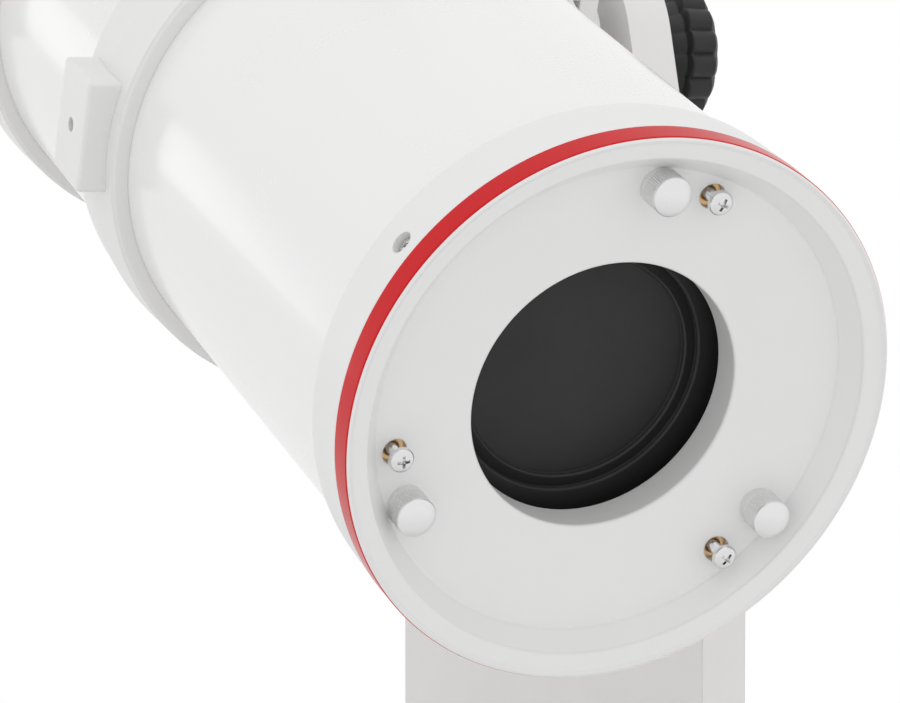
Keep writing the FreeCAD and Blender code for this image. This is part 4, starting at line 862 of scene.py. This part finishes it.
def makeRingHalf(name, body, node, middle, side):
    half = ring["width"] / 2
    boreHalf = half - ring["mouthDepth"]
    gap = math.degrees(math.asin(ring["split"] / ring["bore"]))
    sweep = (-90 + gap, 90 - gap) if side > 0 else (90 + gap, 270 - gap)
    band = toObject(name, turnedShape(ringOutline(middle), 144, sweep=sweep), alongTube())
    near = side * ring["split"]
    far = side * ring["lugThickness"]
    lugRange = (min(near, far), max(near, far))
    lugHalf = ring["lugLength"] / 2
    adds = [tubeBlock((lugRange[0], middle - lugHalf, ring["edge"] - 3),
                      (lugRange[1], middle + lugHalf, ring["lugTop"]), 1.0)]
    if side > 0:
        padHalf = ring["padLength"] / 2
        adds.append(tubeBlock((ring["bore"] - 4, middle - padHalf, -ring["padHeight"] / 2),
                              (ring["padFace"], middle + padHalf, ring["padHeight"] / 2), 0.8))
        knuckles = [(0.0, ring["hingeMiddle"])]
    else:
        bossHalf = ring["bossLength"] / 2
        bossLow = ring["bossRise"] - ring["bossHeight"] / 2
        adds.append(tubeBlock((-ring["bossFace"], middle - bossHalf, bossLow),
                              (-ring["bore"] + 6, middle + bossHalf, bossLow + ring["bossHeight"]), 1.5))
        ear = (ring["hingeLength"] - ring["hingeMiddle"]) / 2 - ring["hingeGap"]
        reach = ring["hingeMiddle"] / 2 + ring["hingeGap"] + ear / 2
        knuckles = [(-reach, ear), (reach, ear)]
    for offset, length in knuckles:
        place = tubeMatrix @ Matrix.Translation(Vector((0, middle + offset, ring["hingeZ"])) * mm)
        place = place @ Matrix.Rotation(-math.pi / 2, 4, "X")
        barrel = softOutline([(0, -length / 2, 0), (ring["barrel"], -length / 2, 0.6),
                              (ring["barrel"], length / 2, 0.6), (0, length / 2, 0)])
        adds.append(toObject("add", turnedShape(barrel, 48), place))
        web = (min(near, side * ring["barrel"] * 1.6), max(near, side * ring["barrel"] * 1.6))
        adds.append(tubeBlock((web[0], middle + offset - length / 2, ring["hingeZ"]),
                              (web[1], middle + offset + length / 2, -ring["edge"] + 2), 0.3))
    upright = tubeMatrix @ Matrix.Translation(Vector((0, middle, 0)) * mm)
    bore = softOutline([(0, -half, 0), (ring["mouth"], -half, 0), (ring["mouth"], -boreHalf, 0),
                        (ring["bore"], -boreHalf, 0), (ring["bore"], boreHalf, 0),
                        (ring["mouth"], boreHalf, 0), (ring["mouth"], half, 0), (0, half, 0)])
    cuts = [toObject("cut", turnedShape(bore, 288), alongTube(0, 0, middle))]
    sideways = Matrix.Rotation(math.pi / 2, 4, "Y")
    clampPlace = upright @ Matrix.Translation((0, 0, ring["clampZ"] * mm)) @ sideways
    cuts.append(tubeRod(ring["clampHole"], clampPlace, 32, 60))
    if side < 0:
        start = -ring["bossFace"] + ring["holeDepth"] / 2
        hole = upright @ Matrix.Translation(Vector((start, 0, ring["bossRise"])) * mm) @ sideways
        cuts.append(tubeRod(ring["bossHole"], hole, 40, ring["holeDepth"]))
    reshape(band, adds, cuts)
    finishPiece(band, castSatin, body, [node], 34)


for name, middle in zip(("rear", "front"), ring["middles"]):
    makeRingHalf(name + "RingSwingHalf", name + "_ring_swing", name + "_ring_swing_half", middle, -1)
    makeRingHalf(name + "RingFixedHalf", "ring_carrier", name + "_ring_fixed_half", middle, 1)
print("tube rings made")

# altitude knob: moulded, tapered back, rounded scallops
tiltKnob = {"scallops": 16, "rim": 28.2, "scallopDepth": 1.35, "neck": 17.0, "inner": 158.3,
            "rimStart": 170.3, "outer": 183.8, "hubRecess": 3.0, "recess": 20.0, "bore": 5.1, "webDepth": 5.5}


def tiltRipple(radius, along, turn):
    share = min(1.0, max(0.0, (radius - 20.0) / 7.0))
    wave = abs(math.sin(turn * tiltKnob["scallops"] / 2))
    return radius - tiltKnob["scallopDepth"] * 1.6 * share * (1 - wave) ** 1.4


def makeTiltKnob():
    outer = tiltKnob["outer"]
    hub = outer - tiltKnob["hubRecess"]
    web = outer - tiltKnob["webDepth"]
    outline = softOutline([
        (tiltKnob["bore"], tiltKnob["inner"], 0), (tiltKnob["neck"], tiltKnob["inner"], 0.6),
        (24.0, tiltKnob["rimStart"] - 1.0, 0.8), (tiltKnob["rim"] - 0.4, tiltKnob["rimStart"], 1.0),
        (tiltKnob["rim"], outer - 3, 2.0), (tiltKnob["rim"] - 4, outer, 2.0),
        (tiltKnob["recess"] + 1, outer, 1.0),
        (tiltKnob["recess"], hub, 1.0), (0, hub, 0), (0, web, 0), (tiltKnob["bore"], web, 0)], 5)
    place = columns(Vector((0, 1, 0)), Vector((0, 0, 1)), Vector((1, 0, 0)), pivotPoint)
    knob = toObject("altitudeKnob", turnedShape(outline, 320, tiltRipple), place)
    finishPiece(knob, mouldedBlack, "altitude_knob", ["altitude_knob"], 50)


makeTiltKnob()
print("altitude knob made")

# studio: pale floor that fades into a white room, a soft box for the streak and one overhead fill
studio = {"floorRadius": 2.4, "floorFade": (0.55, 0.95), "roomSeen": 1.0, "roomLight": 0.945}


def makeFloor():
    shape = bmesh.new()
    bmesh.ops.create_circle(shape, cap_ends=True, radius=studio["floorRadius"], segments=128)
    floor = toObject("studioFloor", shape)
    material, tree, shader = newFinish("paleFloor", {"Roughness": 0.6, "Specular IOR Level": 0.2})
    place = tree.nodes.new("ShaderNodeTexCoord")
    length = tree.nodes.new("ShaderNodeVectorMath")
    length.operation = "LENGTH"
    tree.links.new(place.outputs["Object"], length.inputs[0])
    fade = tree.nodes.new("ShaderNodeMapRange")
    fade.interpolation_type = "SMOOTHSTEP"
    fade.inputs["From Min"].default_value = studio["floorFade"][0]
    fade.inputs["From Max"].default_value = studio["floorFade"][1]
    fade.inputs["To Min"].default_value = 1.0
    fade.inputs["To Max"].default_value = 0.0
    tree.links.new(length.outputs["Value"], fade.inputs["Value"])
    tree.links.new(fade.outputs[0], shader.inputs["Alpha"])
    grain = placeGroup(tree, skinGroup, {"Ripple Size": 0.02})
    pale = mixColour(tree, grain.outputs["Mottle"], grey(0.9), grey(0.88))
    tree.links.new(pale, shader.inputs["Base Color"])
    floor.data.materials.append(material)


def makeRoom():
    world = bpy.data.worlds.new("whiteRoom")
    scene.world = world
    world.use_nodes = True
    tree = world.node_tree
    background = tree.nodes["Background"]
    background.inputs["Color"].default_value = (1, 1, 1, 1)
    ray = tree.nodes.new("ShaderNodeLightPath")
    share = tree.nodes.new("ShaderNodeMapRange")
    share.inputs["To Min"].default_value = studio["roomLight"]
    share.inputs["To Max"].default_value = studio["roomSeen"]
    tree.links.new(ray.outputs["Is Camera Ray"], share.inputs["Value"])
    tree.links.new(share.outputs[0], background.inputs["Strength"])


def softBox(name, place, target, size, power):
    light = bpy.data.lights.new(name, "AREA")
    light.shape = "RECTANGLE"
    light.size = size[0]
    light.size_y = size[1]
    light.energy = power
    lamp = bpy.data.objects.new(name, light)
    scene.collection.objects.link(lamp)
    lamp.location = place
    lamp.rotation_euler = (Vector(target) - Vector(place)).to_track_quat("-Z", "Y").to_euler()
    return lamp


makeFloor()
makeRoom()
softBox("streakBox", (-1.35, 2.65, 0.77), (-0.02, -0.2, 0.38), (0.62, 0.58), 0.95)
softBox("topPanel", (-0.2, -0.6, 2.2), (0, 0, 0.4), (1.6, 1.6), 3)
print("studio set")

# camera low behind the rear cell, looking a little down
view = {"place": (-0.5513, -1.3731, 0.3865), "forward": (0.40939, 0.91043, -0.05931),
        "up": (0.02432, 0.05409, 0.99824), "lens": 153.28, "sensor": 36.0}
lookForward = Vector(view["forward"]).normalized()
lookRight = lookForward.cross(Vector(view["up"])).normalized()
lookUp = lookRight.cross(lookForward)
cameraData = bpy.data.cameras.new("studioCamera")
cameraData.lens = view["lens"]
cameraData.sensor_width = view["sensor"]
cameraData.clip_start = 0.01
cameraData.clip_end = 50
camera = bpy.data.objects.new("studioCamera", cameraData)
scene.collection.objects.link(camera)
camera.matrix_world = columns(lookRight, lookUp, -lookForward, Vector(view["place"]))
scene.camera = camera
scene.view_settings.view_transform = "Standard"
scene.view_settings.look = "None"
print("camera set")
